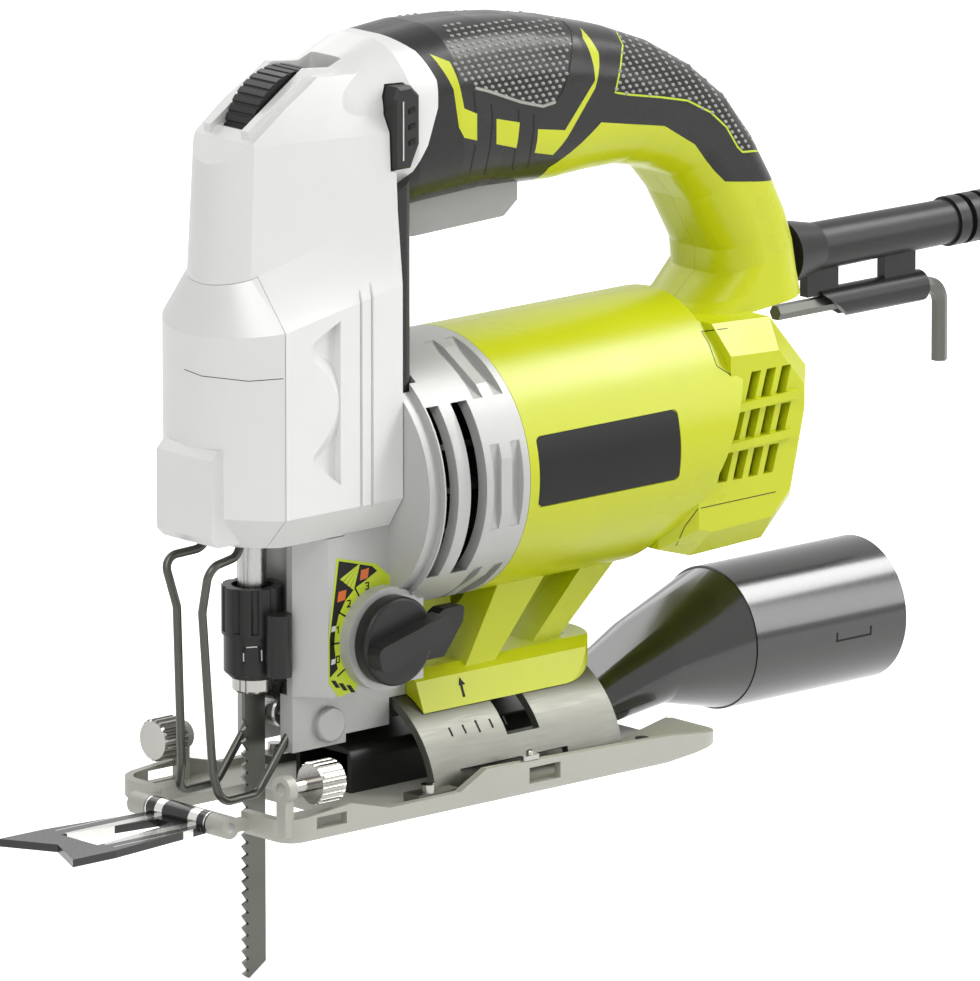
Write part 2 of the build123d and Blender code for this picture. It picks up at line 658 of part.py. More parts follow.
def bevel_cradle():
    rear = CRADLE_FRONT + CRADLE_LENGTH
    span = (CRADLE_FRONT, rear)
    inner = TILT_RADIUS - CRADLE_THICK
    arch = tube_x(TILT_RADIUS, inner, span, 0, 0)
    across = (-SHOE_WIDTH, SHOE_WIDTH)
    arch -= block((CRADLE_FRONT - PIERCE, rear + PIERCE), across, (-SHOE_WIDTH, SOLE_THICK))
    opening = (CRADLE_FRONT + CRADLE_FOOT, rear - 2 * CRADLE_FOOT)
    arch -= block(opening, across, (0, SOLE_THICK + CRADLE_ARCH))
    slot = (TILT_SLOT_X - TILT_SLOT / 2, TILT_SLOT_X + TILT_SLOT / 2)
    arch -= block(slot, across, (TILT_SLOT_LOW, SHOE_WIDTH))
    tab_y = (-SHOE_HALF + SHOE_WALL + SLIP, -inner)
    tab_z = (SOLE_THICK, SOLE_THICK + CRADLE_THICK)
    front_tab = block((CRADLE_FRONT - CRADLE_FOOT, FOOT_REAR), tab_y, tab_z)
    rear_tab = block((rear - TAB_ROOT, rear + CRADLE_FOOT), tab_y, tab_z)
    return arch + both_sides(front_tab + rear_tab)


def cradle_screws():
    """Pan-head screws holding the cradle's tabs to the tray."""
    rear = CRADLE_FRONT + CRADLE_LENGTH
    screws = []
    seat = SOLE_THICK + CRADLE_THICK
    y = (SHOE_HALF - SHOE_WALL + TILT_RADIUS) / 2
    for x in (CRADLE_FRONT - CRADLE_FOOT / 2, rear + CRADLE_FOOT / 2):
        for side in (-1, 1):
            head = rod_z(SCREW_RADIUS, (seat, seat + FASTENER_HEAD[1]), x, side * y)
            screws.append(head)
    return screws


def dust_duct():
    low = SOLE_THICK
    outer = block((DUCT_FRONT, DUCT_REAR), (-DUCT_HALF, DUCT_HALF), (low, low + DUCT_HEIGHT))
    outer = fillet(outer.edges().filter_by(Axis.X).group_by(Axis.Z)[-1], DUCT_WALL * 2)
    inner_half = DUCT_HALF - DUCT_WALL
    way = block((DUCT_FRONT - PIERCE, DUCT_REAR + PIERCE), (-inner_half, inner_half),
                (low + DUCT_WALL, low + DUCT_HEIGHT - DUCT_WALL))
    return outer - way


def nozzle_form(inset):
    """Flat neck that rises over the shoe's tail and swells into the round tube."""
    start = DUCT_REAR + SLIP
    faces = []
    for ahead, low, high, half in NOZZLE_STATIONS:
        plane = Plane(origin=(start + ahead, 0, (low + high) / 2), x_dir=(0, 1, 0), z_dir=(1, 0, 0))
        tall = high - low - 2 * inset
        wide = 2 * (half - inset)
        corner = NOZZLE_ROUND * min(wide, tall) / 2
        faces.append((plane * RectangleRounded(wide, tall, corner)).face())
    cone = loft(faces, ruled=True)
    round_x = start + NOZZLE_STATIONS[-1][0]
    tube = rod_x(NOZZLE_RADIUS - inset, (round_x - NOZZLE_LIP, round_x + NOZZLE_TUBE), 0, NOZZLE_Z)
    return cone + tube


def dust_nozzle():
    start = DUCT_REAR + SLIP
    end = start + NOZZLE_STATIONS[-1][0] + NOZZLE_TUBE
    bore = rod_x(NOZZLE_RADIUS - NOZZLE_WALL, (end - NOZZLE_TUBE, end + PIERCE), 0, NOZZLE_Z)
    half = DUCT_HALF - DUCT_WALL - SLIP
    low = SOLE_THICK + DUCT_WALL + SLIP
    high = SOLE_THICK + DUCT_HEIGHT - DUCT_WALL - SLIP
    plug = block((start - NOZZLE_PLUG, start + 2 * NOZZLE_WALL), (-half, half), (low, high))
    hole = block((start - NOZZLE_PLUG - PIERCE, start + 3 * NOZZLE_WALL),
                 (-half + NOZZLE_WALL, half - NOZZLE_WALL), (low + NOZZLE_WALL, high - NOZZLE_WALL))
    return nozzle_form(0) + plug - nozzle_form(NOZZLE_WALL) - bore - hole


# Motor

def armature_shaft():
    front = GEAR_X + PINION_LENGTH
    return rod_x(SHAFT_RADIUS, (front, REAR_BEARING_X + BEARING_WIDTH + SHAFT_STUB))


def slotted_drum(radius, span, slot):
    """Drum on the shaft with a ring of lengthwise slots."""
    width, depth = slot
    drum = tube_x(radius, SHAFT_RADIUS, span)
    for i in range(CORE_SLOTS):
        across, up = polar(radius, 2 * math.pi * i / CORE_SLOTS)
        angle = 360.0 * i / CORE_SLOTS
        cut = Pos((span[0] + span[1]) / 2, across, MOTOR_Z + up) * Rot(angle, 0, 0)
        drum -= cut * Box(span[1] - span[0] + PIERCE, 2 * depth, width)
    return drum


def armature_core():
    return slotted_drum(CORE_RADIUS, (CORE_X, CORE_X + CORE_LENGTH), CORE_SLOT)


def commutator():
    span = (COMMUTATOR_X, COMMUTATOR_X + COMMUTATOR_LENGTH)
    return slotted_drum(COMMUTATOR_RADIUS, span, COMMUTATOR_SLOT)


def end_turns(outer, inner):
    """Rounded winding heads at both ends of the core."""
    core_end = CORE_X + CORE_LENGTH
    front = tube_x(outer, inner, (CORE_X - COIL_LENGTH, CORE_X))
    rear = tube_x(outer, inner, (core_end, core_end + COIL_LENGTH))
    front = fillet(front.edges().group_by(Axis.X)[0], COIL_LENGTH / 3)
    rear = fillet(rear.edges().group_by(Axis.X)[-1], COIL_LENGTH / 3)
    return [front, rear]


def armature_windings():
    return end_turns(CORE_RADIUS - COIL_INSET, SHAFT_RADIUS + COIL_BORE)


def field_coils():
    return end_turns(REAR_HALF - BARREL_WALL - FIELD_INSET, CORE_RADIUS + FIELD_BORE)


def stator_core():
    return tube_x(SHELL_R - SLIP / 3, CORE_RADIUS + AIR_GAP, (CORE_X, CORE_X + CORE_LENGTH))


def cooling_fan():
    span = (FAN_X, FAN_X + FAN_WIDTH)
    disc = tube_x(FAN_RADIUS, SHAFT_RADIUS, (span[1] - FAN_DISC, span[1]))
    hub = tube_x(FAN_HUB, SHAFT_RADIUS, (BLOCK_REAR + BEARING_WIDTH + PIERCE, span[1]))
    inner = BEARING_RADIUS + 2 * BEARING_BOSS
    vane = Box(FAN_WIDTH, FAN_RADIUS - inner, VANE_THICK)
    vane = Pos((span[0] + span[1]) / 2, (inner + FAN_RADIUS) / 2, 0) * vane
    fan = disc + hub
    for i in range(FAN_BLADES):
        fan += Pos(0, 0, MOTOR_Z) * Rot(360.0 * i / FAN_BLADES, 0, 0) * vane
    return fan


def bearing(radius, x):
    """Sealed ball bearing, drawn as its two races and the seal between them."""
    ring = tube_x(radius, SHAFT_RADIUS, (x, x + BEARING_WIDTH))
    seal = (radius + SHAFT_RADIUS) / 2
    groove = tube_x(seal + SEAL_HALF, seal - SEAL_HALF, (x - PIERCE, x + SEAL_DEEP))
    return ring - groove


def brush_y():
    """Start and end of the left brush, and the outer end of its holder."""
    inner = COMMUTATOR_RADIUS + SLIP
    return inner, inner + BRUSH_LENGTH, REAR_HALF - BARREL_WALL


def carbon_brushes():
    inner, outer, _ = brush_y()
    x = COMMUTATOR_X + COMMUTATOR_LENGTH / 2
    brush = Box(BRUSH[0], outer - inner, BRUSH[1])
    return [Pos(x, side * (inner + outer) / 2, MOTOR_Z) * brush for side in (-1, 1)]


def brush_holders():
    inner, outer, end = brush_y()
    x = COMMUTATOR_X + COMMUTATOR_LENGTH / 2
    start = inner + HOLDER_SETBACK
    way = Box(BRUSH[0] + SEAM, outer - inner, BRUSH[1] + SEAM)
    wide = BRUSH[0] + 2 * HOLDER_WALL
    high = BRUSH[1] + 2 * HOLDER_WALL
    holders = []
    for side in (-1, 1):
        box = Pos(x, side * (start + end) / 2, MOTOR_Z) * Box(wide, end - start, high)
        box -= Pos(x, side * (inner + outer) / 2, MOTOR_Z) * way
        holders.append(box)
    return holders


def spur_gear(teeth, x, width, z, first):
    """Straight-flanked spur gear whose first tooth points at an angle from +Y."""
    pitch = MODULE * teeth / 2
    tip = pitch + ADDENDUM * MODULE
    root = pitch - DEDENDUM * MODULE
    half = TOOTH_SHARE * math.pi / (2 * teeth)
    points = []
    for i in range(teeth):
        middle = first + 2 * math.pi * i / teeth
        points.append(polar(root, middle - ROOT_SHARE * half))
        points.append(polar(tip, middle - TIP_SHARE * half))
        points.append(polar(tip, middle + TIP_SHARE * half))
        points.append(polar(root, middle + ROOT_SHARE * half))
    face = make_face(Plane.YZ * Polyline(*points, close=True))
    return Pos(x, 0, z) * extrude(face, width, dir=(1, 0, 0))


def pinion():
    return spur_gear(PINION_TEETH, GEAR_X, PINION_LENGTH, MOTOR_Z, math.pi / 2 + math.pi / PINION_TEETH)


def drive_gear():
    gear = spur_gear(GEAR_TEETH, GEAR_X, GEAR_WIDTH, GEAR_Z, -math.pi / 2)
    reach = (GEAR_X - PIERCE, GEAR_X + GEAR_WIDTH + PIERCE)
    return gear - rod_x(AXLE_RADIUS + RUN_FIT, reach, 0, GEAR_Z)


def crank_pin():
    return rod_x(CRANK_PIN_RADIUS, (ROD_RADIUS + CRANK_GAP, GEAR_X), 0, GEAR_Z - CRANK_RADIUS)


def gear_axle():
    """Fixed axle with a thrust collar behind the gear."""
    rear = GEAR_X + GEAR_WIDTH
    axle = rod_x(AXLE_RADIUS, (GEAR_X, GEAR_X + AXLE_LENGTH), 0, GEAR_Z)
    return axle + rod_x(AXLE_RADIUS + AXLE_COLLAR, (rear + SLIP, BLOCK_FRONT), 0, GEAR_Z)


# Plunger, clamp and blade

def yoke_z():
    """Middle of the yoke's slot at the bottom of the stroke."""
    return GEAR_Z - CRANK_RADIUS


def plunger():
    slot = CRANK_PIN_RADIUS + SLIP
    high = slot + YOKE_WALL
    z = yoke_z()
    rod = rod_z(ROD_RADIUS, (ROD_SEAT, ROD_TOP))
    yoke = block((-YOKE_THICK / 2, YOKE_THICK / 2), (-YOKE_HALF, YOKE_HALF), (z - high, z + high))
    yoke = fillet(yoke.edges().filter_by(Axis.X), YOKE_WALL)
    slot_half = YOKE_HALF - YOKE_WALL
    way = block((-2 * ROD_RADIUS, 2 * ROD_RADIUS), (-slot_half, slot_half), (z - slot, z + slot))
    return rod + yoke - way


def bush(span):
    sleeve = rod_z(BUSH_RADIUS, span)
    return sleeve - rod_z(ROD_RADIUS + RUN_FIT, (span[0] - PIERCE, span[1] + PIERCE))


def blade_slot():
    return block((-SHANK_WIDTH / 2, SHANK_WIDTH / 2), (-BLADE_THICK / 2, BLADE_THICK / 2),
                 (HOLDER_LOW - PIERCE, ROD_SEAT - PIERCE))


def blade_holder():
    body = rod_z(HOLDER_RADIUS, (HOLDER_LOW, HOLDER_HIGH))
    body = chamfer(body.edges().group_by(Axis.Z)[0], HOLDER_EDGE)
    body -= rod_z(ROD_RADIUS, (ROD_SEAT, HOLDER_HIGH + PIERCE))
    return body - blade_slot()


def blade():
    """T-shank blade with forward-facing teeth."""
    front = -BLADE_WIDTH / 2
    back = BLADE_WIDTH / 2
    top = HOLDER_LOW - SLIP
    outline = [(back, top), (back, BLADE_TIP + BLADE_WIDTH / 2), (front + TOOTH_DEPTH, BLADE_TIP)]
    count = int((TEETH_TOP - BLADE_TIP) / TOOTH_PITCH)
    for i in range(count):
        low = BLADE_TIP + TOOTH_START + i * TOOTH_PITCH
        outline.append((front, low + TOOTH_POINT * TOOTH_PITCH))
        outline.append((front + TOOTH_DEPTH, low + TOOTH_GULLET * TOOTH_PITCH))
    outline.append((front + BLADE_RELIEF, TEETH_TOP))
    outline.append((front + BLADE_RELIEF, top))
    body = side_prism(outline, (-BLADE_THICK / 2, BLADE_THICK / 2))
    shank = block((-SHANK_WIDTH / 2, SHANK_WIDTH / 2), (-BLADE_THICK / 2, BLADE_THICK / 2),
                  (top, ROD_SEAT - PIERCE))
    return body + shank


def clamp_collar():
    """Fluted sleeve with its release post on the left."""
    lower = COLLAR_RADIUS - COLLAR_NARROW
    sleeve = rod_z(COLLAR_RADIUS, (COLLAR_STEP, COLLAR_HIGH)) + rod_z(lower, (COLLAR_LOW, COLLAR_STEP))
    sleeve = chamfer(sleeve.edges().group_by(Axis.Z)[0], COLLAR_EDGE)
    for i in range(COLLAR_FLUTES):
        along, across = polar(COLLAR_RADIUS + FLUTE_OUT, 2 * math.pi * (i + 0.5) / COLLAR_FLUTES)
        sleeve -= rod_z(FLUTE_RADIUS, (COLLAR_STEP + FLUTE_END, COLLAR_HIGH + PIERCE), along, across)
    arm_z = (POST_LOW + POST_MARGIN, POST_HIGH - POST_MARGIN)
    arm = block((-POST_RADIUS / 2, POST_RADIUS / 2), (-POST_OUT, 0), arm_z)
    sleeve += arm + rod_z(POST_RADIUS, (POST_LOW, POST_HIGH), 0, -POST_OUT)
    return sleeve - rod_z(HOLDER_RADIUS + RUN_FIT, (COLLAR_LOW - PIERCE, COLLAR_HIGH + PIERCE))


def guide_roller():
    half = ROLLER_WIDTH / 2
    wheel = rod_y(ROLLER_RADIUS, (-half, half), ROLLER_X, ROLLER_Z)
    wheel = chamfer(wheel.edges(), ROLLER_EDGE)
    return wheel - rod_y(PIN_RADIUS + RUN_FIT, (-half - PIERCE, half + PIERCE), ROLLER_X, ROLLER_Z)


def fork_y():
    inner = ROLLER_WIDTH / 2 + SLIP
    return inner, inner + FORK_THICK


def roller_pin():
    reach = fork_y()[1]
    return rod_y(PIN_RADIUS, (-reach, reach), ROLLER_X, ROLLER_Z)


def arm_tail():
    """Point of the arm that rests on the cam."""
    return KNOB_X - CAM_RADIUS - SLIP, KNOB_Z - ARM_TAIL_DROP


def pendulum_arm():
    """Forked arm that carries the guide roller and leans on the orbit cam."""
    inner, outer = fork_y()
    px, pz = ARM_PIVOT
    tx, tz = arm_tail()
    long, high = ARM_TAIL
    tail = [(tx, tz - high), (tx, tz), (tx - long, tz)]
    hub = ARM_PIVOT_RADIUS + ARM_HUB
    nose = PIN_RADIUS + ARM_NOSE
    cheek = [(ROLLER_X - nose, ROLLER_Z), (ROLLER_X, ROLLER_Z - nose), (px, pz - hub), (px + hub, pz)]
    cheek += tail + [(px - hub / 2, pz + hub), (ROLLER_X, ROLLER_Z + nose)]
    fork = both_sides(side_prism(cheek, (-outer, -inner)))
    bridge = [(px + ARM_BRIDGE[0], pz + ARM_BRIDGE[1])] + tail
    fork += side_prism(bridge, (-outer, outer))
    past = (-outer - PIERCE, outer + PIERCE)
    fork -= rod_y(PIN_RADIUS, past, ROLLER_X, ROLLER_Z)
    return fork - rod_y(ARM_PIVOT_RADIUS + RUN_FIT, past, px, pz)


def arm_pivot_pin():
    px, pz = ARM_PIVOT
    pin = rod_y(ARM_PIVOT_RADIUS, (-FOOT_HALF, FOOT_HALF), px, pz)
    cap = rod_y(2 * ARM_PIVOT_RADIUS, (-FOOT_HALF - PIVOT_CAP, -FOOT_HALF), px, pz)
    cap = fillet(cap.edges().group_by(Axis.Y)[0], PIVOT_CAP_EDGE)
    return pin + cap


# Orbit selector and blower lever

def knob_floor():
    return -CASE_HALF - KNOB_BASE[1]


def orbit_knob():
    floor = knob_floor() - SLIP
    face = floor - KNOB_THICK
    disc = rod_y(KNOB_RADIUS, (face, floor), KNOB_X, KNOB_Z)
    disc = fillet(disc.edges().group_by(Axis.Y)[0], KNOB_EDGE)
    long, wide, high = KNOB_GRIP
    bar = RectangleRounded(long, wide, wide / 3)
    grip = extrude(Plane.XZ * bar, high + PIERCE)
    grip = Pos(KNOB_X + KNOB_GRIP_SHIFT, face + PIERCE, KNOB_Z) * Rot(0, -KNOB_AIM, 0) * grip
    knob = disc + grip
    return knob - rod_y(CAM_RADIUS, (floor - KNOB_THICK / 2, floor + PIERCE), KNOB_X, KNOB_Z)


def orbit_cam():
    """Selector shaft with a flat under the arm's tail."""
    floor = knob_floor() - SLIP
    reach = fork_y()[1]
    return rod_y(CAM_RADIUS, (floor - KNOB_THICK / 2, reach + CAM_REACH), KNOB_X, KNOB_Z)


def lever_stub():
    """Pin on the gear case that the blower lever turns on."""
    x, z = LEVER_PIVOT
    outside, inside = LEVER_PIN
    return rod_y(LEVER_PIN_RADIUS, (-FOOT_HALF - outside, -FOOT_HALF + inside), x, z)


def blower_lever():
    x, z = LEVER_PIVOT
    outline = [(x + along, z + up) for along, up in LEVER_OUTLINE]
    face = -FOOT_HALF - LEVER_THICK
    plate = side_prism(outline, (face, -FOOT_HALF - SLIP))
    plate = fillet(plate.edges().filter_by(Axis.Y), LEVER_EDGE)
    return plate - rod_y(LEVER_PIN_RADIUS + RUN_FIT, (face - PIERCE, -FOOT_HALF + PIERCE), x, z)


# Gear case

@cache
def guard_wire(side):
    """Bent wire beside the blade, on the left (-1) or the right (1)."""
    corners = [(x, side * y, z) for x, y, z in WIRE_CORNERS]
    path = FilletPolyline(*corners, radius=WIRE_BEND)
    start = Plane(origin=path @ 0, z_dir=path % 0)
    return sweep(start * Circle(WIRE_RADIUS), path=path)


def foot_form():
    """Lower casting: narrow at the roller, wider at the selector."""
    top = HEAD_LOW - SLIP
    rear = FOOT_REAR
    wide = CASE_HALF
    flare = FOOT_FRONT + FOOT_FLARE
    plan = [(FOOT_FRONT, -FOOT_HALF), (flare, -wide), (rear, -wide), (rear, wide), (flare, wide),
            (FOOT_FRONT, FOOT_HALF)]
    upper = Pos(0, 0, FOOT_STEP) * plan_prism(plan, top - FOOT_STEP)
    toe = block((FOOT_FRONT, FOOT_TOE), (-FOOT_HALF, FOOT_HALF), (FOOT_LOW, FOOT_STEP + PIERCE))
    heel = block((FOOT_FRONT, rear), (-FOOT_HALF, FOOT_HALF), (FOOT_HEEL, FOOT_STEP + PIERCE))
    return upper + toe + heel


def vent_ring():
    """Ring between the gearbox and the motor barrel, with two side windows and cast pockets."""
    ring = tube_x(BARREL_R, BARREL_R - RING_WALL, (RING_FRONT, RING_REAR))
    window_z = (MOTOR_Z - WINDOW_HALF, MOTOR_Z + WINDOW_HALF)
    for behind, width in RING_WINDOWS:
        start = RING_FRONT + behind
        ring -= block((start, start + width), (-2 * BARREL_R, 2 * BARREL_R), window_z)
    long, tall, deep = POCKET
    rib_width, rib_high = POCKET_RIB
    rear = RING_REAR - POCKET_EDGE
    middle = rear - long / 2
    floor = BARREL_R - deep
    pocket = block((rear - long, rear), (-tall / 2, tall / 2), (floor, BARREL_R + PIERCE))
    rib_x = (middle - rib_width / 2, middle + rib_width / 2)
    pocket -= block(rib_x, (-tall, tall), (floor, floor + rib_high))
    for side in (90, 270):
        for step in (-1, 0, 1):
            ring -= Pos(0, 0, MOTOR_Z) * Rot(side + step * POCKET_TURN, 0, 0) * pocket
    return ring


def pinion_room():
    """Radius that is left free round the pinion."""
    return MODULE * PINION_TEETH / 2 + PINION_ROOM


def gear_case():
    top = UPPER_BUSH[1]
    case = vent_ring()
    case += rod_x(BARREL_R - RING_WALL / 2, (HEAD_REAR + SLIP, RING_FRONT + SLIP))
    case += rod_x(BEARING_RADIUS + BEARING_BOSS, (BLOCK_REAR, BLOCK_REAR + BEARING_WIDTH))
    guide_y = (-GUIDE_RADIUS, GUIDE_RADIUS)
    case += block((BLOCK_FRONT, BLOCK_REAR), (-CASE_HALF, CASE_HALF), (HEAD_LOW - BLOCK_DROP, UPPER_BUSH[0]))
    case += block((BLOCK_FRONT, HEAD_REAR - BRACKET_GAP), guide_y, (UPPER_BUSH[0] - PIERCE, top))
    case += block((-GUIDE_RADIUS, BLOCK_FRONT), guide_y, UPPER_BUSH)
    guide = rod_z(GUIDE_RADIUS, LOWER_BUSH)
    guide += block((0, BLOCK_FRONT + PIERCE), guide_y, (LOWER_BUSH[0], MOTOR_Z + WEB_RISE))
    pinion_way = pinion_room()
    guide -= block((GEAR_X - GEAR_ROOM, BLOCK_FRONT), (-pinion_way, pinion_way), (HEAD_LOW, UPPER_BUSH[0]))
    case += guide
    case += foot_form()
    x, z = LEVER_PIVOT
    behind, tall = LEVER_EAR
    case += block((FOOT_REAR - PIERCE, x + behind), (-FOOT_HALF, 0), (z - tall, z + tall)) + lever_stub()
    case += rod_y(KNOB_BASE[0], (knob_floor(), 0), KNOB_X, KNOB_Z)
    # Holes and ways
    case -= rod_z(BUSH_RADIUS, (LOWER_BUSH[0] - PIERCE, top + PIERCE))
    case -= rod_x(SHAFT_RADIUS + SHAFT_ROOM, (BLOCK_FRONT - PIERCE, BLOCK_REAR + PIERCE))
    case -= rod_x(BEARING_RADIUS, (BLOCK_REAR, RING_REAR))
    case -= rod_x(AXLE_RADIUS, (BLOCK_FRONT - PIERCE, GEAR_X + AXLE_LENGTH), 0, GEAR_Z)
    case -= rod_z(COLLAR_WAY, (FOOT_STEP, LOWER_BUSH[0]))
    slot = fork_y()[1] + 2 * SLIP
    case -= block((0, KNOB_X + ARM_WAY), (-slot, slot), (0, KNOB_Z - CAM_RADIUS / 2))
    case -= rod_y(CAM_RADIUS + RUN_FIT, (knob_floor() - PIERCE, fork_y()[1] + CAM_REACH), KNOB_X, KNOB_Z)
    px, pz = ARM_PIVOT
    case -= rod_y(ARM_PIVOT_RADIUS, (-FOOT_HALF - PIERCE, FOOT_HALF + PIERCE), px, pz)
    case -= rod_x(TILT_RADIUS + SLIP, (CRADLE_FRONT - PIERCE, RING_REAR), 0, 0)
    case -= tube_x(FAN_RADIUS + FAN_GAP, BEARING_RADIUS + BEARING_BOSS, (BLOCK_REAR + SLIP, RING_REAR))
    case -= both_sides(leg_cheek())
    for side in (-1, 1):
        case -= guard_wire(side)
    for screw in head_screws():
        case -= screw
    return case


# Head

def head_section(z, tilt, nose, edge, front_half, rear_half):
    """Plan of the head: a round nose and two straight sides, on a plane that may rise to the rear."""
    lean = math.radians(tilt)
    stretch = 1 / math.cos(lean)
    rear = HEAD_REAR * stretch
    edge = edge * stretch
    arc = ThreePointArc((edge, -front_half), (nose * stretch, 0), (edge, front_half))
    sides = Polyline((edge, front_half), (rear, rear_half), (rear, -rear_half), (edge, -front_half))
    plane = Plane(origin=(0, 0, z), x_dir=(math.cos(lean), 0, math.sin(lean)),
                  z_dir=(-math.sin(lean), 0, math.cos(lean)))
    return (plane * make_face(arc.edges() + sides.edges())).face()


def head_form():
    """Outside of the faceted head, before it is hollowed."""
    sections = []
    for z, tilt, nose, edge, front_inset, rear_inset in HEAD_SECTIONS:
        sections.append(head_section(z, tilt, nose, edge, HEAD_HALF - front_inset, HEAD_HALF - rear_inset))
    form = loft(sections, ruled=True)
    form -= side_prism(HEAD_TOP + HEAD_ABOVE, (-SHOE_WIDTH, SHOE_WIDTH))
    chin = block(CHIN_X, (-CHIN_HALF, CHIN_HALF), (HEAD_LOW + CHIN_Z[0], HEAD_LOW + CHIN_Z[1]))
    form += chamfer(chin.edges().filter_by(Axis.Y).sort_by(Axis.X)[:2], CHIN_BEVEL)
    outer, inner = DIAL_RAIL_Y
    half = DIAL_WIDTH / 2
    return form + both_sides(side_prism(DIAL_RAIL, (-half - outer, -half - inner)))


def gear_bulge(form):
    """Side pockets with the round gear housing showing in them, and two grooves behind."""
    front, rear = BULGE_X
    low, high = BULGE_Z
    deep = HEAD_HALF - BULGE_DEEP
    pocket = [(front, low + BULGE_SLANT[0]), (rear, low), (rear, high), (front, high - BULGE_SLANT[1])]
    form -= both_sides(side_prism(pocket, (-HEAD_HALF - PIERCE, -deep)))
    drum = Pos((front + rear) / 2, 0, (low + high) / 2) * Rot(0, 90, 0)
    drum = drum * Cone(HEAD_HALF + BULGE_CONE[0], HEAD_HALF - BULGE_CONE[1], rear - front)
    form += drum & block(BULGE_X, (-HEAD_HALF, HEAD_HALF), BULGE_Z)
    groove_y = (-HEAD_HALF - PIERCE, -HEAD_HALF + GROOVE)
    for x in GROOVE_PLACES:
        form -= both_sides(block((x, x + GROOVE), groove_y, (HEAD_LOW - PIERCE, SHOULDER_HIGH)))
    return form


def front_region():
    """Silver zone of the handle's front, seen from the side: everything ahead of the rubber."""
    return [(0.0, SKY)] + FRONT_EDGE + [(HEAD_REAR, FRONT_LOW), (0.0, FRONT_LOW)]


def button_plate(grow):
    wide, tall, _ = BUTTON
    half = wide / 2 + grow
    high = tall / 2 + grow
    cut = wide / 3
    outline = [(-half, -high), (half - cut, -high), (half, -high + 2 * cut), (half, high - cut),
               (half - cut, high), (-half + cut / 2, high), (-half, high - cut)]
    return [(BUTTON_X + x, BUTTON_Z + z) for x, z in outline]


def lock_button():
    plate = side_prism(button_plate(0), (-BUTTON_OUT, -BUTTON_OUT + BUTTON[2]))
    return chamfer(plate.faces().sort_by(Axis.Y)[0].edges(), BUTTON_EDGE)


def head_cavity():
    """Gear chamber, bush bracket, plunger way, dial well and the ways for the button and the clamp."""
    rear = HEAD_REAR + PIERCE
    chamber_z = (HEAD_FLOOR, UPPER_BUSH[0] + SLIP)
    wide_front, narrow_front = CHAMBER_FRONT
    cavity = block((COVER_EDGE - wide_front, rear), (-CHAMBER_HALF, CHAMBER_HALF), chamber_z)
    cavity += block((COVER_EDGE - narrow_front, COVER_EDGE), (-CHAMBER_HALF / 2, CHAMBER_HALF / 2), chamber_z)
    cavity += rod_x(pinion_room(), (GEAR_X - PIERCE, BLOCK_FRONT))
    guide = GUIDE_RADIUS + SLIP
    guide_x = (-guide, HEAD_REAR - BRACKET_GAP + PIERCE)
    cavity += block(guide_x, (-guide, guide), (UPPER_BUSH[0], UPPER_BUSH[1] + SLIP))
    cavity += rod_z(ROD_RADIUS + ROD_ROOM, (UPPER_BUSH[0], ROD_TOP + STROKE + ROD_OVERRUN))
    cavity += rod_z(COLLAR_WAY, (HEAD_LOW - PIERCE, HEAD_FLOOR + PIERCE))
    cavity += block((BLOCK_FRONT - SLIP, rear), (-CASE_HALF - SLIP, CASE_HALF + SLIP),
                    (HEAD_LOW - PIERCE, HEAD_FLOOR + PIERCE))
    half = DIAL_WIDTH / 2
    cavity += rod_y(DIAL_RADIUS + 2 * SLIP, (-half - SLIP, half + SLIP), DIAL_X, DIAL_Z)
    well_half = half + DIAL_RAIL_Y[1]
    cavity += side_prism(DIAL_WELL, (-well_half, well_half))
    cavity += block(board_x(), board_y(), board_z())
    pocket_end = -BUTTON_OUT + BUTTON[2] + BUTTON_TRAVEL
    cavity += side_prism(button_plate(SLIP), (-HEAD_HALF - BUTTON_TRAVEL, pocket_end))
    for side in (-1, 1):
        cavity += guard_wire(side)
    for screw in head_screws():
        cavity += screw
    return cavity


def whole_head():
    form = gear_bulge(head_form())
    neck = handle_form(0) & side_prism(front_region(), (-SHOE_WIDTH, SHOE_WIDTH))
    form += neck
    return form - head_cavity()


def cover_region(gap):
    """Box round the lower front cover, ending at the shoulder seam."""
    rise = math.tan(math.radians(SHOULDER_RISE))
    front = COVER_FRONT
    edge = COVER_EDGE - gap
    seam = [(front, 0.0), (edge, 0.0), (edge, SHOULDER_HIGH + COVER_EDGE * rise - gap),
            (front, SHOULDER_HIGH + front * rise - gap)]
    return side_prism(seam, (-SHOE_WIDTH, SHOE_WIDTH))


def speed_dial():
    half = DIAL_WIDTH / 2
    wheel = rod_y(DIAL_RADIUS, (-half, half), DIAL_X, DIAL_Z)
    for i in range(DIAL_NOTCHES):
        along, up = polar(DIAL_RADIUS, 2 * math.pi * i / DIAL_NOTCHES)
        wheel -= rod_y(DIAL_NOTCH, (-half - PIERCE, half + PIERCE), DIAL_X + along, DIAL_Z + up)
    return wheel - rod_y(PIN_RADIUS + RUN_FIT, (-half - PIERCE, half + PIERCE), DIAL_X, DIAL_Z)


def board_x():
    return DIAL_X - BOARD_HALF, DIAL_X + BOARD_HALF


def board_y():
    start = DIAL_WIDTH / 2 + SLIP
    return start, start + BOARD_THICK


def board_z():
    return DIAL_Z - BOARD_LOW, DIAL_Z + BOARD_HIGH


def speed_board():
    """Speed control with the shaft that carries the dial."""
    board = block(board_x(), board_y(), board_z())
    return board + rod_y(PIN_RADIUS, (-DIAL_WIDTH / 2, board_y()[0] + PIERCE), DIAL_X, DIAL_Z)


# Housing, handle and grip

def between(before, start, end, after):
    """Smooth value halfway between two stations, given their neighbours."""
    return (9 * (start + end) - before - after) / 16


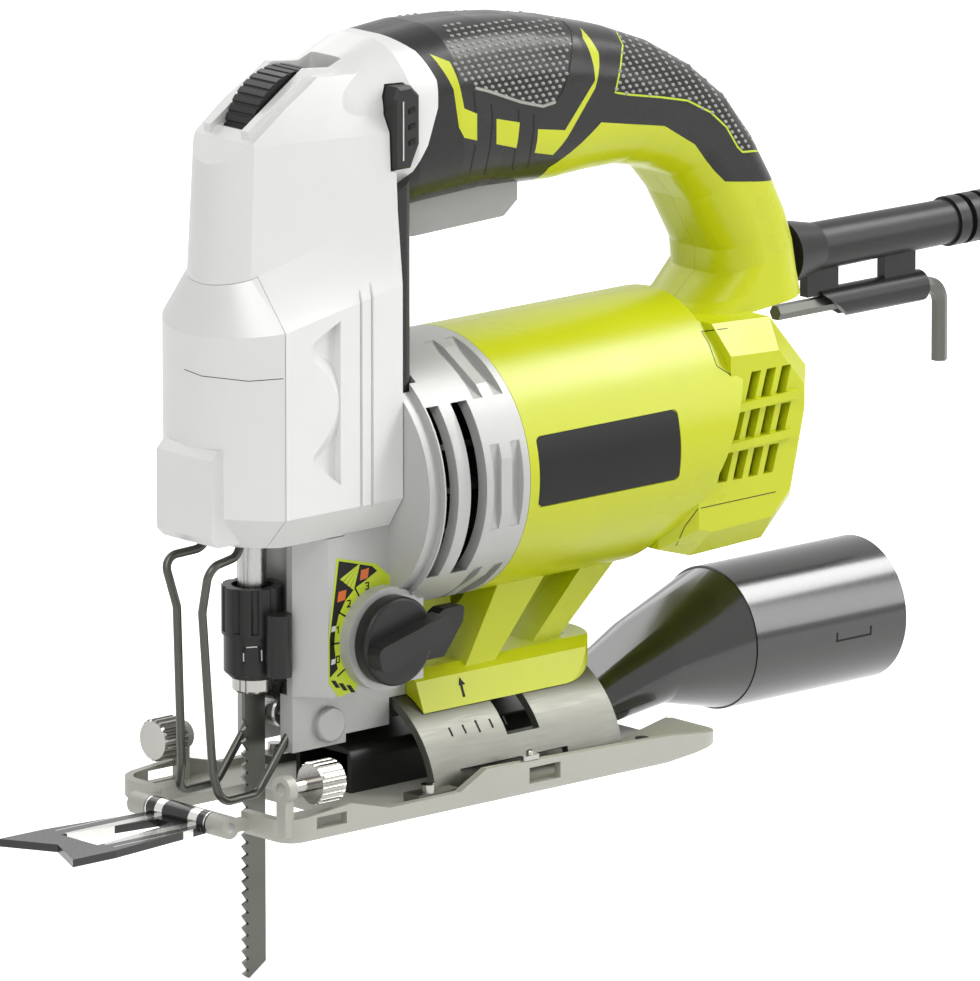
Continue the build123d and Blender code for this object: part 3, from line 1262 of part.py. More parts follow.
def fine_stations():
    """Handle stations with one smooth station added in each span."""
    rows = HANDLE_STATIONS
    last = len(rows) - 1
    fine = [rows[0]]
    for i in range(last):
        before = rows[max(i - 1, 0)]
        after = rows[min(i + 2, last)]
        fine.append(tuple(between(*values) for values in zip(before, rows[i], rows[i + 1], after)))
        fine.append(rows[i + 1])
    return fine


@cache
def handle_form(inset):
    """Handle bar swept through its stations, made smaller all round by an inset."""
    faces = []
    for x, z, dip, depth, width in fine_stations():
        lean = math.radians(dip)
        plane = Plane(origin=(x, 0, z), x_dir=(0, 1, 0), z_dir=(math.cos(lean), 0, -math.sin(lean)))
        corner = HANDLE_ROUND * min(depth, width) - inset
        faces.append((plane * RectangleRounded(width - 2 * inset, depth - 2 * inset, corner)).face())
    return loft(faces, ruled=True)


def leg_form(inset):
    """Front leg of the handle, standing behind the head."""
    front = HEAD_REAR + SLIP
    high = LEG_HIGH - LEG_CORE_DROP * inset
    leg = block((front, front + LEG_THICK - inset), (-LEG_HALF + inset, LEG_HALF - inset), (LEG_LOW, high))
    edges = leg.edges().filter_by(Axis.Z).group_by(Axis.X)[-1]
    return fillet(edges, LEG_THICK / 2)


def grip_region():
    """Side view of the rubber: the top and front of the handle and the front leg."""
    top = [(GRIP_REAR, SKY), (GRIP_REAR, GRIP_BASE)]
    front = HEAD_REAR + SLIP
    leg_low = LEG_LOW - PIERCE
    leg = [(GRIP_FRONT, GRIP_BASE), (GRIP_FRONT, leg_low), (front, leg_low), (front, FRONT_LOW)]
    return FRONT_EDGE[::-1] + top + GRIP_EDGE + leg


@cache
def grip_skin():
    """Rubber overmould, with windows where the green shows through."""
    bar = handle_form(0) + leg_form(0)
    core = handle_form(GRIP_SKIN) + leg_form(GRIP_SKIN)
    reach = (-SHOE_WIDTH, SHOE_WIDTH)
    skin = (bar - core) & side_prism(grip_region(), reach)
    for accent in ACCENTS:
        skin -= side_prism(accent, reach)
    return skin - switch_cavity() - leg_clearance()


def leg_clearance():
    """Room for the gear case between the leg's cheeks."""
    half = CASE_HALF + SLIP
    return block((BLOCK_FRONT, RING_REAR), (-half, half), (HEAD_LOW, UPPER_BUSH[0] + SLIP))


def leg_cheek():
    """Room that the gear case leaves for the left side of the leg's foot."""
    rear = HEAD_REAR + LEG_THICK + 2 * SLIP
    return block((HEAD_REAR, rear), (-LEG_HALF - SLIP, -CASE_HALF), (LEG_LOW - SLIP, MOTOR_Z + 2 * BARREL_R))


def trigger_outline():
    low = TRIGGER_LOW
    front = TRIGGER_FRONT
    rear = TRIGGER_REAR
    top = TRIGGER_PIVOT[1] + TRIGGER_RISE
    toe = TRIGGER_TOE
    heel, rise = TRIGGER_HEEL
    return [(front, top), (front, low + toe), (front + toe, low), (rear - heel, low + rise),
            (rear, low + heel), (rear, top)]


def trigger():
    body = side_prism(trigger_outline(), (-TRIGGER_HALF, TRIGGER_HALF))
    low_edges = body.edges().filter_by(Axis.Y).sort_by(Axis.Z)[:2]
    body = fillet(low_edges, TRIGGER_EDGE)
    x, z = TRIGGER_PIVOT
    return body - rod_y(PIN_RADIUS + RUN_FIT, (-TRIGGER_HALF - PIERCE, TRIGGER_HALF + PIERCE), x, z)


def trigger_pin():
    x, z = TRIGGER_PIVOT
    reach = TRIGGER_HALF + TRIGGER_PIN
    return rod_y(PIN_RADIUS, (-reach, reach), x, z)


def switch_block():
    long, wide, high = SWITCH
    middle = (TRIGGER_FRONT + TRIGGER_REAR) / 2
    return Pos(middle, 0, SWITCH_LOW + high / 2) * Box(long, wide, high)


@cache
def switch_cavity():
    """Trigger slot, switch pocket and the hole of the trigger pin."""
    half = TRIGGER_HALF + SLIP
    front = TRIGGER_FRONT - 2 * SLIP
    rear = TRIGGER_REAR + 2 * SLIP
    cavity = block((front, rear), (-half, half), (TRIGGER_LOW - TRIGGER_ROOM, SWITCH_LOW))
    long, wide, high = SWITCH
    middle = (TRIGGER_FRONT + TRIGGER_REAR) / 2
    cavity += Pos(middle, 0, SWITCH_LOW + high / 2) * Box(long + SEAM, wide + SEAM, high + SEAM)
    return cavity + trigger_pin()


def rear_end():
    """Faceted rear of the motor housing."""
    form = side_prism(REAR_OUTLINE, (-REAR_HALF, REAR_HALF))
    side_faces = form.faces().sort_by(Axis.Y)
    form = chamfer(side_faces[0].edges() + side_faces[-1].edges(), REAR_BEVEL)
    shoulder = block((0, REAR_FRONT), (-SHOE_WIDTH, SHOE_WIDTH), (MOTOR_Z, 2 * MOTOR_Z))
    form -= shoulder - rod_x(BARREL_R - SLIP, (-PIERCE, REAR_FRONT + PIERCE))
    return form + both_sides(vent_bars())


def vent_bars():
    """Raised bars between the rows of slots on the left side."""
    reach = (-REAR_HALF - BAR_PROUD, -REAR_HALF + PIERCE)
    bars = []
    for x, z in BAR_PLACES:
        low = z - BAR_THICK / 2
        high = z + BAR_THICK / 2
        point = x + BAR_POINT
        end = x + BAR_LENGTH
        outline = [(x, z), (point, low), (end, low + BAR_RISE), (end, high + BAR_RISE), (point, high)]
        bars.append(side_prism(outline, reach))
    return bars[0] + bars[1]


def barrel():
    """Motor barrel, cut off on a slant where the vented rear end starts."""
    tube = rod_x(BARREL_R, (RING_REAR + SEAM, BARREL_END))
    tube -= side_prism(BARREL_CUT, (-SHOE_WIDTH, SHOE_WIDTH))
    return tube - plate_recess()


def plate_recess():
    """Shallow round-cornered recess for a plate on the left side of the barrel."""
    width, height, deep = PLATE
    outline = Plane.XZ * Pos(PLATE_X, PLATE_Z) * RectangleRounded(width, height, PLATE_CORNER)
    way = extrude(outline, 2 * BARREL_R, dir=(0, -1, 0))
    return way - rod_x(BARREL_R - deep, (0, SHOE_LENGTH))


def saddle():
    """Underside that rides on the tilting cradle, with two struts up to the barrel."""
    seat = TILT_RADIUS + SLIP
    front = FOOT_REAR + SLIP
    rear = CRADLE_FRONT + CRADLE_LENGTH + SADDLE_OVERHANG
    half = SADDLE_HALF
    low = math.sqrt(seat ** 2 - half ** 2)
    top = seat + SADDLE_CROWN
    bevel = half - SADDLE_BEVEL[0]
    bevel_z = top - SADDLE_BEVEL[1]
    flat = half - SADDLE_TOP
    section = [(-half, low), (-bevel, bevel_z), (-flat, top), (flat, top), (bevel, bevel_z), (half, low)]
    face = make_face(Plane.YZ * Polyline(*section, close=True))
    form = Pos(front, 0, 0) * extrude(face, rear - front, dir=(1, 0, 0))
    straight = rear - half - front + PIERCE
    plan = Pos(front - PIERCE, 0) * Rectangle(straight, 2 * half, align=(Align.MIN, Align.CENTER))
    plan += Pos(rear - half, 0) * Circle(half)
    form &= extrude(plan, 2 * top)
    form -= rod_x(seat, (0, SHOE_LENGTH), 0, 0)
    form += side_prism(FRONT_STRUT, (-FRONT_STRUT_HALF, FRONT_STRUT_HALF))
    form += side_prism(REAR_STRUT, (-REAR_STRUT_HALF, REAR_STRUT_HALF))
    return form - rod_z(BOLT_RADIUS, (0, BOLT_WAY), TILT_SLOT_X, 0)


def vent_slots():
    """Three rows of slanted air slots through both sides of the rear end."""
    slots = None
    reach = (-REAR_HALF - PIERCE, -REAR_HALF + BARREL_WALL + PIERCE)
    for x, z, count in VENT_ROWS:
        for i in range(count):
            start = x + i * VENT_PITCH
            outline = [(start, z - VENT_RISE), (start + VENT_WIDTH, z - VENT_RISE),
                       (start + VENT_WIDTH + VENT_LEAN, z + VENT_RISE), (start + VENT_LEAN, z + VENT_RISE)]
            slot = side_prism(outline, reach)
            slots = slot if slots is None else slots + slot
    return both_sides(slots)


def motor_cavity():
    core_end = CORE_X + CORE_LENGTH
    cavity = rod_x(SHELL_R, (RING_REAR, core_end))
    cavity += rod_x(REAR_HALF - BARREL_WALL, (core_end - PIERCE, COMMUTATOR_X))
    half = REAR_HALF - BARREL_WALL
    room_z = (MOTOR_Z - BRUSH_ROOM[0], MOTOR_Z + BRUSH_ROOM[1])
    cavity += block((COMMUTATOR_X - PIERCE, REAR_BEARING_X + BRUSH_ROOM_END), (-half, half), room_z)
    boss = (REAR_BEARING_X - REAR_BOSS[0], REAR_BEARING_X + REAR_BOSS[1])
    cavity -= rod_x(REAR_BEARING_RADIUS + BEARING_BOSS, boss)
    bore = (REAR_BEARING_X - REAR_BORE[0], REAR_BEARING_X + BEARING_WIDTH + REAR_BORE[1])
    return cavity + rod_x(REAR_BEARING_RADIUS, bore)


def housing():
    form = barrel() + rear_end() + saddle()
    handle = handle_form(0) + leg_form(0)
    reach = (-SHOE_WIDTH, SHOE_WIDTH)
    handle -= side_prism(front_region(), reach)
    handle &= block((HEAD_REAR + SLIP, GUARD_END), reach, (0, SKY))
    form += handle
    form -= grip_skin()
    form -= switch_cavity() + leg_clearance()
    form -= motor_cavity()
    form -= vent_slots()
    form -= guard_seat()
    for screw in housing_screws():
        form -= screw
    return form


def guard_seat():
    radius, width = GUARD_FLANGE
    seat = rod_x(radius, (GUARD_FRONT, GUARD_FRONT + width), 0, GUARD_Z)
    return seat + rod_x(GUARD_RADIUS, (GUARD_FRONT, GUARD_END), 0, GUARD_Z)


def cord_guard():
    """Tapered sleeve with end ribs and a clip for the key underneath."""
    radius, width = GUARD_FLANGE
    rib_start = GUARD_END - GUARD_RIBS * GUARD_RIB_PITCH
    guard = rod_x(radius, (GUARD_FRONT, GUARD_FRONT + width), 0, GUARD_Z)
    sleeve = Pos((GUARD_FRONT + rib_start) / 2, 0, GUARD_Z) * Rot(0, 90, 0)
    guard += sleeve * Cone(GUARD_RADIUS, GUARD_RADIUS - GUARD_TAPER, rib_start - GUARD_FRONT)
    guard += rod_x(GUARD_RADIUS - GUARD_RIB_DEEP, (rib_start - PIERCE, GUARD_END), 0, GUARD_Z)
    for i in range(GUARD_RIBS):
        x = rib_start + i * GUARD_RIB_PITCH
        guard += rod_x(GUARD_RADIUS, (x, x + GUARD_RIB_WIDTH), 0, GUARD_Z)
    bell_start = GUARD_FRONT + width + GUARD_BELL_START
    bell = Pos(bell_start + GUARD_BELL / 2, 0, GUARD_Z) * Rot(0, 90, 0)
    guard += bell * Cone(radius, GUARD_RADIUS - GUARD_BELL_STEP, GUARD_BELL)
    for post in CLIP_POSTS:
        guard += block(post, (-CLIP_POST_HALF, CLIP_POST_HALF), (KEY_Z + CLIP_POST_LOW, GUARD_Z))
    corner = KEY_FLATS / math.sqrt(3)
    clip = tube_x(corner + CLIP_WALL, corner + SLIP, CLIP_X, 0, KEY_Z)
    mouth = (CLIP_X[0] - PIERCE, CLIP_X[1] + PIERCE)
    clip -= block(mouth, (-CLIP_MOUTH, CLIP_MOUTH), (KEY_Z - 2 * KEY_FLATS, KEY_Z))
    low = KEY_Z - 2 * KEY_FLATS
    slant = [(mouth[0], low), (CLIP_X[0] + CLIP_SLANT + KEY_FLATS, low), (mouth[0], KEY_Z + KEY_FLATS)]
    clip -= side_prism(slant, (-GUARD_RADIUS, GUARD_RADIUS))
    guard += clip
    guard -= rod_x(corner + SLIP, mouth, 0, KEY_Z)
    return guard - rod_x(CORD_RADIUS, (GUARD_FRONT + 2 * width, GUARD_END + PIERCE), 0, GUARD_Z)


def hex_key():
    corners = [(KEY_FRONT, 0, KEY_Z), (KEY_REAR, 0, KEY_Z), (KEY_REAR, 0, KEY_LOW)]
    path = FilletPolyline(*corners, radius=KEY_BEND)
    start = Plane(origin=path @ 0, x_dir=(0, 1, 0), z_dir=path % 0)
    return sweep(start * RegularPolygon(KEY_FLATS / math.sqrt(3), 6), path=path)


def bevel_clamp():
    """Curved plate that the lock bolt pulls against the cradle from inside."""
    outer = TILT_RADIUS - CRADLE_THICK - SLIP
    half = TILT_SLOT / 2 + CLAMP_MARGIN
    span = (TILT_SLOT_X - half, TILT_SLOT_X + half)
    plate = tube_x(outer, outer - CLAMP_THICK, span, 0, 0)
    plate &= block(span, (-CLAMP_HALF, CLAMP_HALF), (0, TILT_RADIUS))
    return plate - rod_z(BOLT_RADIUS, (0, BOLT_WAY), TILT_SLOT_X, 0)


def bevel_bolt():
    """Socket screw up through the clamp plate and the cradle's slot into the saddle."""
    radius, high = BOLT_HEAD
    seat = TILT_RADIUS - CRADLE_THICK - SLIP - CLAMP_THICK
    under = math.sqrt(seat ** 2 - radius ** 2)
    shank = rod_z(BOLT_RADIUS, (under - PIERCE, BOLT_TOP), TILT_SLOT_X, 0)
    head = rod_z(radius, (under - high, under), TILT_SLOT_X, 0)
    socket = extrude(RegularPolygon(KEY_FLATS / math.sqrt(3), 6), high / 2)
    return shank + head - Pos(TILT_SLOT_X, 0, under - high) * socket


def housing_screws():
    """Screws from the right half into the left, with sunk heads."""
    radius, high = FASTENER_HEAD
    screws = []
    for x, z in HOUSING_SCREW_PLACES:
        shank = rod_y(FASTENER_RADIUS, (-SCREW_GRIP, SCREW_HEAD_Y), x, z)
        screws.append(shank + rod_y(radius, (SCREW_HEAD_Y, SCREW_HEAD_Y + high), x, z))
    return screws


def screw_wells():
    """Access holes over the housing screws on the right side."""
    radius = FASTENER_HEAD[0]
    wells = None
    for x, z in HOUSING_SCREW_PLACES:
        well = rod_y(radius, (SCREW_HEAD_Y, SHOE_WIDTH), x, z)
        wells = well if wells is None else wells + well
    return wells


def head_screws():
    """Screws that hold the head shell to the gear case, on the right side."""
    radius, high = FASTENER_HEAD
    screws = []
    for x, z in HEAD_SCREW_PLACES:
        shank = rod_y(FASTENER_RADIUS, (CASE_HALF - SCREW_GRIP, HEAD_HALF - high), x, z)
        screws.append(shank + rod_y(radius, (HEAD_HALF - high, HEAD_HALF), x, z))
    return screws


def left(shape):
    return shape & block((-FAR, FAR), (-FAR, -SEAM / 4), (-FAR, FAR))


def right(shape):
    return shape & block((-FAR, FAR), (SEAM / 4, FAR), (-FAR, FAR))


def save(name, shape):
    """Write one node with the origin at the middle of the sole."""
    solids = shape if isinstance(shape, list) else [shape]
    moved = [Pos(-SHOE_CENTRE, 0, 0) * solid for solid in solids]
    node = moved[0] if len(moved) == 1 else Compound(children=moved)
    export_step(node, f"parts/{name}.step")


def main():
    os.makedirs("parts", exist_ok=True)
    shell = housing() - screw_wells()
    skin = grip_skin() - screw_wells()
    head = whole_head()
    nodes = {
        "housing_left": left(shell),
        "housing_right": right(shell),
        "grip_left": left(skin),
        "grip_right": right(skin),
        "head_shell": head - cover_region(0),
        "gear_cover": head & cover_region(SEAM),
        "gear_case": gear_case(),
        "speed_dial": speed_dial(),
        "speed_board": speed_board(),
        "lock_button": lock_button(),
        "trigger": trigger(),
        "trigger_pin": trigger_pin(),
        "switch_block": switch_block(),
        "orbit_knob": orbit_knob(),
        "orbit_cam": orbit_cam(),
        "blower_lever": blower_lever(),
        "plunger": plunger(),
        "lower_bush": bush(LOWER_BUSH),
        "upper_bush": bush(UPPER_BUSH),
        "blade_holder": blade_holder(),
        "clamp_collar": clamp_collar(),
        "blade": blade(),
        "pendulum_arm": pendulum_arm(),
        "roller_pin": roller_pin(),
        "guide_roller": guide_roller(),
        "arm_pivot_pin": arm_pivot_pin(),
        "guard_wire_left": guard_wire(-1),
        "guard_wire_right": guard_wire(1),
        "armature_shaft": armature_shaft(),
        "armature_core": armature_core(),
        "armature_windings": armature_windings(),
        "commutator": commutator(),
        "cooling_fan": cooling_fan(),
        "pinion": pinion(),
        "front_bearing": bearing(BEARING_RADIUS, BLOCK_REAR),
        "rear_bearing": bearing(REAR_BEARING_RADIUS, REAR_BEARING_X),
        "stator_core": stator_core(),
        "field_coils": field_coils(),
        "brush_holders": brush_holders(),
        "carbon_brushes": carbon_brushes(),
        "drive_gear": drive_gear(),
        "crank_pin": crank_pin(),
        "gear_axle": gear_axle(),
        "shoe_plate": shoe_plate(),
        "bevel_cradle": bevel_cradle(),
        "cradle_screws": cradle_screws(),
        "bevel_bolt": bevel_bolt(),
        "bevel_clamp": bevel_clamp(),
        "dust_duct": dust_duct(),
        "dust_nozzle": dust_nozzle(),
        "guide_screw_left": guide_screw(-1),
        "guide_screw_right": guide_screw(1),
        "cut_sight": cut_sight(),
        "sight_pin": sight_pin(),
        "cord_guard": cord_guard(),
        "hex_key": hex_key(),
        "housing_screws": housing_screws(),
        "head_screws": head_screws(),
    }
    for name, shape in nodes.items():
        save(name, shape)


main()
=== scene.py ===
"""Studio scene of a corded jigsaw: finishes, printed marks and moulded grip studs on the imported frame."""

import json
import math

import bmesh
import bpy
from mathutils import Matrix, Vector
from mathutils.bvhtree import BVHTree


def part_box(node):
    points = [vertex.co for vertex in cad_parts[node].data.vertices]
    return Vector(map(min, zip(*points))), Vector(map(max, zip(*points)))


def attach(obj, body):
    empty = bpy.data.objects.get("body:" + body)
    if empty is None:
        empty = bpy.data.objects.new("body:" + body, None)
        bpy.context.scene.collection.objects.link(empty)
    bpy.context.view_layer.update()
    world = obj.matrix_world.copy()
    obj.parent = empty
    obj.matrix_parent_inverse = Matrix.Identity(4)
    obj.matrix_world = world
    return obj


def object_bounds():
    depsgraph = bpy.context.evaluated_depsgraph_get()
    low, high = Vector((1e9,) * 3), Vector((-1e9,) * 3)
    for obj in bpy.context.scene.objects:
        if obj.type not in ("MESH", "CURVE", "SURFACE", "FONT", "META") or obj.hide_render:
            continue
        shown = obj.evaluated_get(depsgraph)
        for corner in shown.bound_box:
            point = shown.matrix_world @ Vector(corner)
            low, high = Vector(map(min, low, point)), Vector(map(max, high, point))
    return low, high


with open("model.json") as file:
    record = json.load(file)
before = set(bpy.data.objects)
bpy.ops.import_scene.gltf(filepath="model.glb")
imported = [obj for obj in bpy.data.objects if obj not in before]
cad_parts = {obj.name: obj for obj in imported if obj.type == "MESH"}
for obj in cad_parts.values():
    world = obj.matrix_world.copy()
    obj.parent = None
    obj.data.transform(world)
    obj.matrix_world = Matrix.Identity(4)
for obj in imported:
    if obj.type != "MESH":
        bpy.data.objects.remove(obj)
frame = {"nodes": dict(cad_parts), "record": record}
cad_low, cad_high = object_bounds()

MM = 0.001
NODES = frame["nodes"]

# Sizes are in mm. Places count from the blade's axis on the sole's plane, with X to the rear and the side
# that the photograph shows at -Y. The frame's own origin is the middle of the sole.
FRAME_SHIFT = Vector((-62.0, 0.0, 0.0))
X_AXIS = (1, 0, 0)
Y_AXIS = (0, 1, 0)
Z_AXIS = (0, 0, 1)
MIRROR = Matrix.Diagonal((1.0, -1.0, 1.0))
SUNK = 0.02             # how deep a flat piece starts below its surface
TURNED_SIDES = 24

MOTOR_Z = 89.2
BARREL_RADIUS = 37.6
PLATE_SIZE = (52.6, 19.6)
PLATE_CORNER = 1.5
PLATE_DEPTH = 0.4       # of the recess that the plate lies in
PLATE_BELOW = 0.08      # the plate's face below the barrel's
PLATE_X = 99.0
PLATE_Z = 91.0
PLATE_ROWS = 24

# The selector's label on the flat left side of the case, as points across and up. Angles are in degrees.
CASE_HALF = 19.0
KNOB_X = 29.5
KNOB_Z = 48.4
LABEL_HIGH = 0.10
LABEL_INK_HIGH = 0.14
LABEL_MARK_HIGH = 0.18
LABEL_OUTLINE = [
    (14.2, 72.9), (28.4, 69.2), (37.4, 62.0), (31.0, 59.0),
    (21.0, 34.5), (14.6, 33.6), (11.1, 38.0), (11.1, 50.5),
]
LABEL_FIELD = [
    (14.9, 72.0), (27.0, 68.7), (28.9, 67.1), (24.7, 65.1), (20.8, 63.5), (17.3, 60.6), (14.8, 56.9),
    (13.5, 52.7), (13.1, 48.4), (13.7, 44.2), (14.4, 41.7), (11.5, 39.6), (11.5, 50.5),
]
LABEL_BARS = [(13.6, 38.2), (16.4, 37.0), (19.2, 36.0)]
LABEL_BAR = [(-1.8, 0.6), (-0.1, 0.3), (1.7, -2.0), (0.1, -1.8)]
LABEL_LINES = [210.0, 178.0, 148.0, 120.0]
LABEL_LINE_ENDS = (14.6, 17.4)
LABEL_LINE_WIDTH = 0.5
LABEL_STOPS = [195.0, 164.0, 135.0, 106.0]
LABEL_MARKS = [                         # finish, stops, distance from the knob's axis, half size
    ("print_white", LABEL_STOPS[:2], 17.3, 0.9),
    ("print_orange", LABEL_STOPS[2:], 19.2, 1.7),
]
LABEL_MARK = [(-1.0, -0.9), (0.7, -0.7), (1.0, 0.9), (-0.7, 0.8)]
SWEEP_TIP = (22.6, 70.2)
SWEEP_FOOT = [(15.2, 66.8), (16.4, 66.0)]
SWEEP_STEP = (1.3, -1.0)
SWEEP_RAYS = 4
DIGIT_RADIUS = 15.6
DIGIT_SCALE = 0.55
DIGIT_WIDTH = 0.38
DIGITS = [
    [[(-0.9, -1.6), (0.9, -1.6), (0.9, 1.6), (-0.9, 1.6), (-0.9, -1.6)]],
    [[(-0.7, 1.0), (0.2, 1.6), (0.2, -1.6)]],
    [[(-0.9, 1.6), (0.9, 1.6), (0.9, 0.1), (-0.9, -1.6), (0.9, -1.6)]],
    [[(-0.9, 1.6), (0.9, 1.6), (0.9, -1.6), (-0.9, -1.6)], [(-0.2, 0.0), (0.9, 0.0)]],
]

# Outlines and lines are drawn in a plane beside the node, as the photograph shows them. They fall on the
# node's surface along the line of sight.
RAY_START = 0.2         # m towards the camera
LINE_STEP = 1.2
LINE_ROOT = 0.15        # how deep a line starts below the surface
LINE_TOP = 0.7          # share of the width at the top of a line
PATCH_Y = -14.0
STUD_PATCHES = [
    [
        (57.4, 215.7), (64.3, 199.0), (71.2, 195.0), (96.1, 187.1), (103.1, 191.4), (105.6, 204.7),
        (99.1, 212.3),
    ],
    [
        (121.1, 206.7), (124.6, 200.6), (122.1, 187.3), (146.4, 182.5), (159.6, 176.1), (168.8, 164.1),
        (177.0, 163.7), (167.7, 184.9),
    ],
]
STUD_ROW = 1.65
STUD_STEP = 2.5
STUD_LONG = 1.75
STUD_WIDE = 1.15
STUD_HIGH = 0.42
STUD_ROOT = 0.12
STUD_SHOULDER = (0.72, 0.6)             # shares of the reach and the height
STUD_SIDES = 8
STUD_ALONG = Vector((1.0, 0.0, -0.35))  # the handle's direction
STUD_TURN = 0.05        # greatest Y of a normal, so that studs stay on the side's half of the handle

PATCH_LINE = [
    (122.2, 205.3), (124.7, 200.7), (123.7, 193.8), (121.9, 187.5), (127.5, 186.1), (138.8, 183.9),
    (149.2, 181.5), (157.8, 177.1), (163.9, 172.0), (168.3, 165.6), (170.2, 164.0), (176.1, 163.6),
]
# The patch's edge and the rib lines are drawn in dark ink: painted shade in the grip's grooves.
PATCH_EDGE = [(102.2, 210.8), (105.4, 207.6), (105.9, 201.9), (104.5, 195.7), (102.2, 190.4), (99.4, 187.9)]
# The rim's line is drawn in the light stud grey: a raised rubber rim with a painted highlight along it.
PATCH_RIM = [(99.4, 187.9), (94.8, 187.3), (86.4, 189.7), (75.2, 194.1), (69.7, 195.9)]
RIB_LINES = [
    [(69.2, 194.9), (70.1, 189.2), (69.7, 178.7), (67.8, 172.6)],
    [(75.7, 190.5), (76.2, 186.2), (75.2, 177.9), (73.2, 171.2)],
    [(85.9, 187.7), (85.9, 183.5), (84.5, 176.6), (83.6, 171.1)],
    [(91.5, 185.5), (91.5, 181.3), (90.1, 174.4), (89.2, 171.0)],
]
SHELL_Y = -33.0
SHELL_SEAMS = [
    [(147.3, 120.2), (137.4, 120.8), (140.1, 117.0), (143.1, 110.0), (148.5, 106.6)],
    [(127.9, 60.9), (131.2, 66.1), (136.1, 70.3), (165.7, 70.6)],
]
COVER_Y = -20.0
COVER_SEAM = [(-42.4, 134.8), (-35.9, 131.9), (-18.6, 127.7), (-3.3, 126.2)]
COLLAR_Y = -9.0
COLLAR_CATCH = [(-11.2, 45.4), (-11.2, 49.9), (-5.4, 49.3), (-5.2, 44.7)]
# Painted highlights: bright white strokes along the edges of the collar's catch.
COLLAR_GLINTS = [
    [(-11.2, 46.0), (-11.2, 48.4)],
    [(-10.2, 49.8), (-6.2, 49.4)],
    [(-4.5, 45.2), (-4.6, 48.2)],
]

# Piece, node, body, slot, finish, lines, plane, width and height. The side lines are mirrored to the right.
SIDE_LINES = [
    ("grip_line", "grip_left", "tool", "lime_plastic", "print_lime", [PATCH_LINE], PATCH_Y, 0.7, 0.12),
    # Dark grooves: painted shade along the patch's edge and between the ribs.
    ("grip_groove", "grip_left", "tool", "rubber_grip", "ink", [PATCH_EDGE] + RIB_LINES, PATCH_Y, 0.7, 0.06),
    # A raised rubber rim with a painted highlight along it.
    ("grip_rim", "grip_left", "tool", "rubber_grip", "stud", [PATCH_RIM], PATCH_Y, 1.0, 0.35),
    ("shell_seam", "housing_left", "tool", "black_plastic", "ink", SHELL_SEAMS, SHELL_Y, 0.35, 0.04),
]
SINGLE_LINES = [
    ("cover_seam", "gear_cover", "tool", "silver_plastic", "ink", [COVER_SEAM], COVER_Y, 0.3, 0.03),
    ("collar_catch", "clamp_collar", "collar", "black_plastic", "ink", [COLLAR_CATCH], COLLAR_Y, 0.9, 0.06),
    # The catch's edges in white are painted highlights.
    (
        "collar_catch_edges", "clamp_collar", "collar", "nickel", "print_white", COLLAR_GLINTS, COLLAR_Y,
        0.45, 0.10,
    ),
]

SADDLE_FACET = [(-18.9, 23.7), (-15.5, 32.0)]
MARK_X = 62.0
MARK_HIGH = 0.12
POINTER_START = 0.25    # share of the facet below the pointer
POINTER = [(-0.4, 0.0), (0.4, 0.0), (0.4, 3.4), (1.5, 3.4), (0.0, 5.6), (-0.9, 3.4), (-0.4, 3.4)]
CRADLE_RADIUS = 30.0
SCALE_TURN = 38.0       # degrees above the horizontal
SCALE_REACH = 2         # lines on each side of zero
SCALE_STEP = 5.0
SCALE_WIDTH = 0.5
SCALE_LINE = 2.2
SCALE_ZERO = 3.2

BUTTON_BAR = [(0.4, -0.7), (2.6, -0.2), (2.6, 1.1), (0.4, 0.6)]
BUTTON_BAR_STEP = 4.4
BUTTON_BAR_HIGH = 0.25
BUTTON_EDGE = [(-2.0, -9.0), (-1.5, -9.0), (-1.5, 7.5), (-2.0, 7.5)]
BUTTON_EDGE_HIGH = 0.2

SHOE_SCREW = (71.0, -35.3, 10.0)
CLIP = [
    (-2.4, -1.1), (2.4, -1.1), (2.9, -0.6), (2.9, 0.6),
    (2.4, 1.1), (-2.4, 1.1), (-2.9, 0.6), (-2.9, -0.6),
]
CLIP_HIGH = 1.0
CLIP_SUNK = 0.3
SCREW_HEAD = [(1.05, 0.9), (1.05, 2.0), (0.85, 2.3), (0.5, 2.3), (0.5, 1.8)]

NOZZLE_RADIUS = 20.5
NOZZLE_Z = 22.0
CATCH_X = 208.0
CATCH_TURN = -4.0       # degrees above the horizontal
CATCH_LINE = [(-6.5, 1.2), (-6.5, -1.0), (6.5, -1.0), (6.5, 1.2)]
CATCH_WIDTH = 0.5
CATCH_SUNK = 0.1
CATCH_HIGH = 0.2

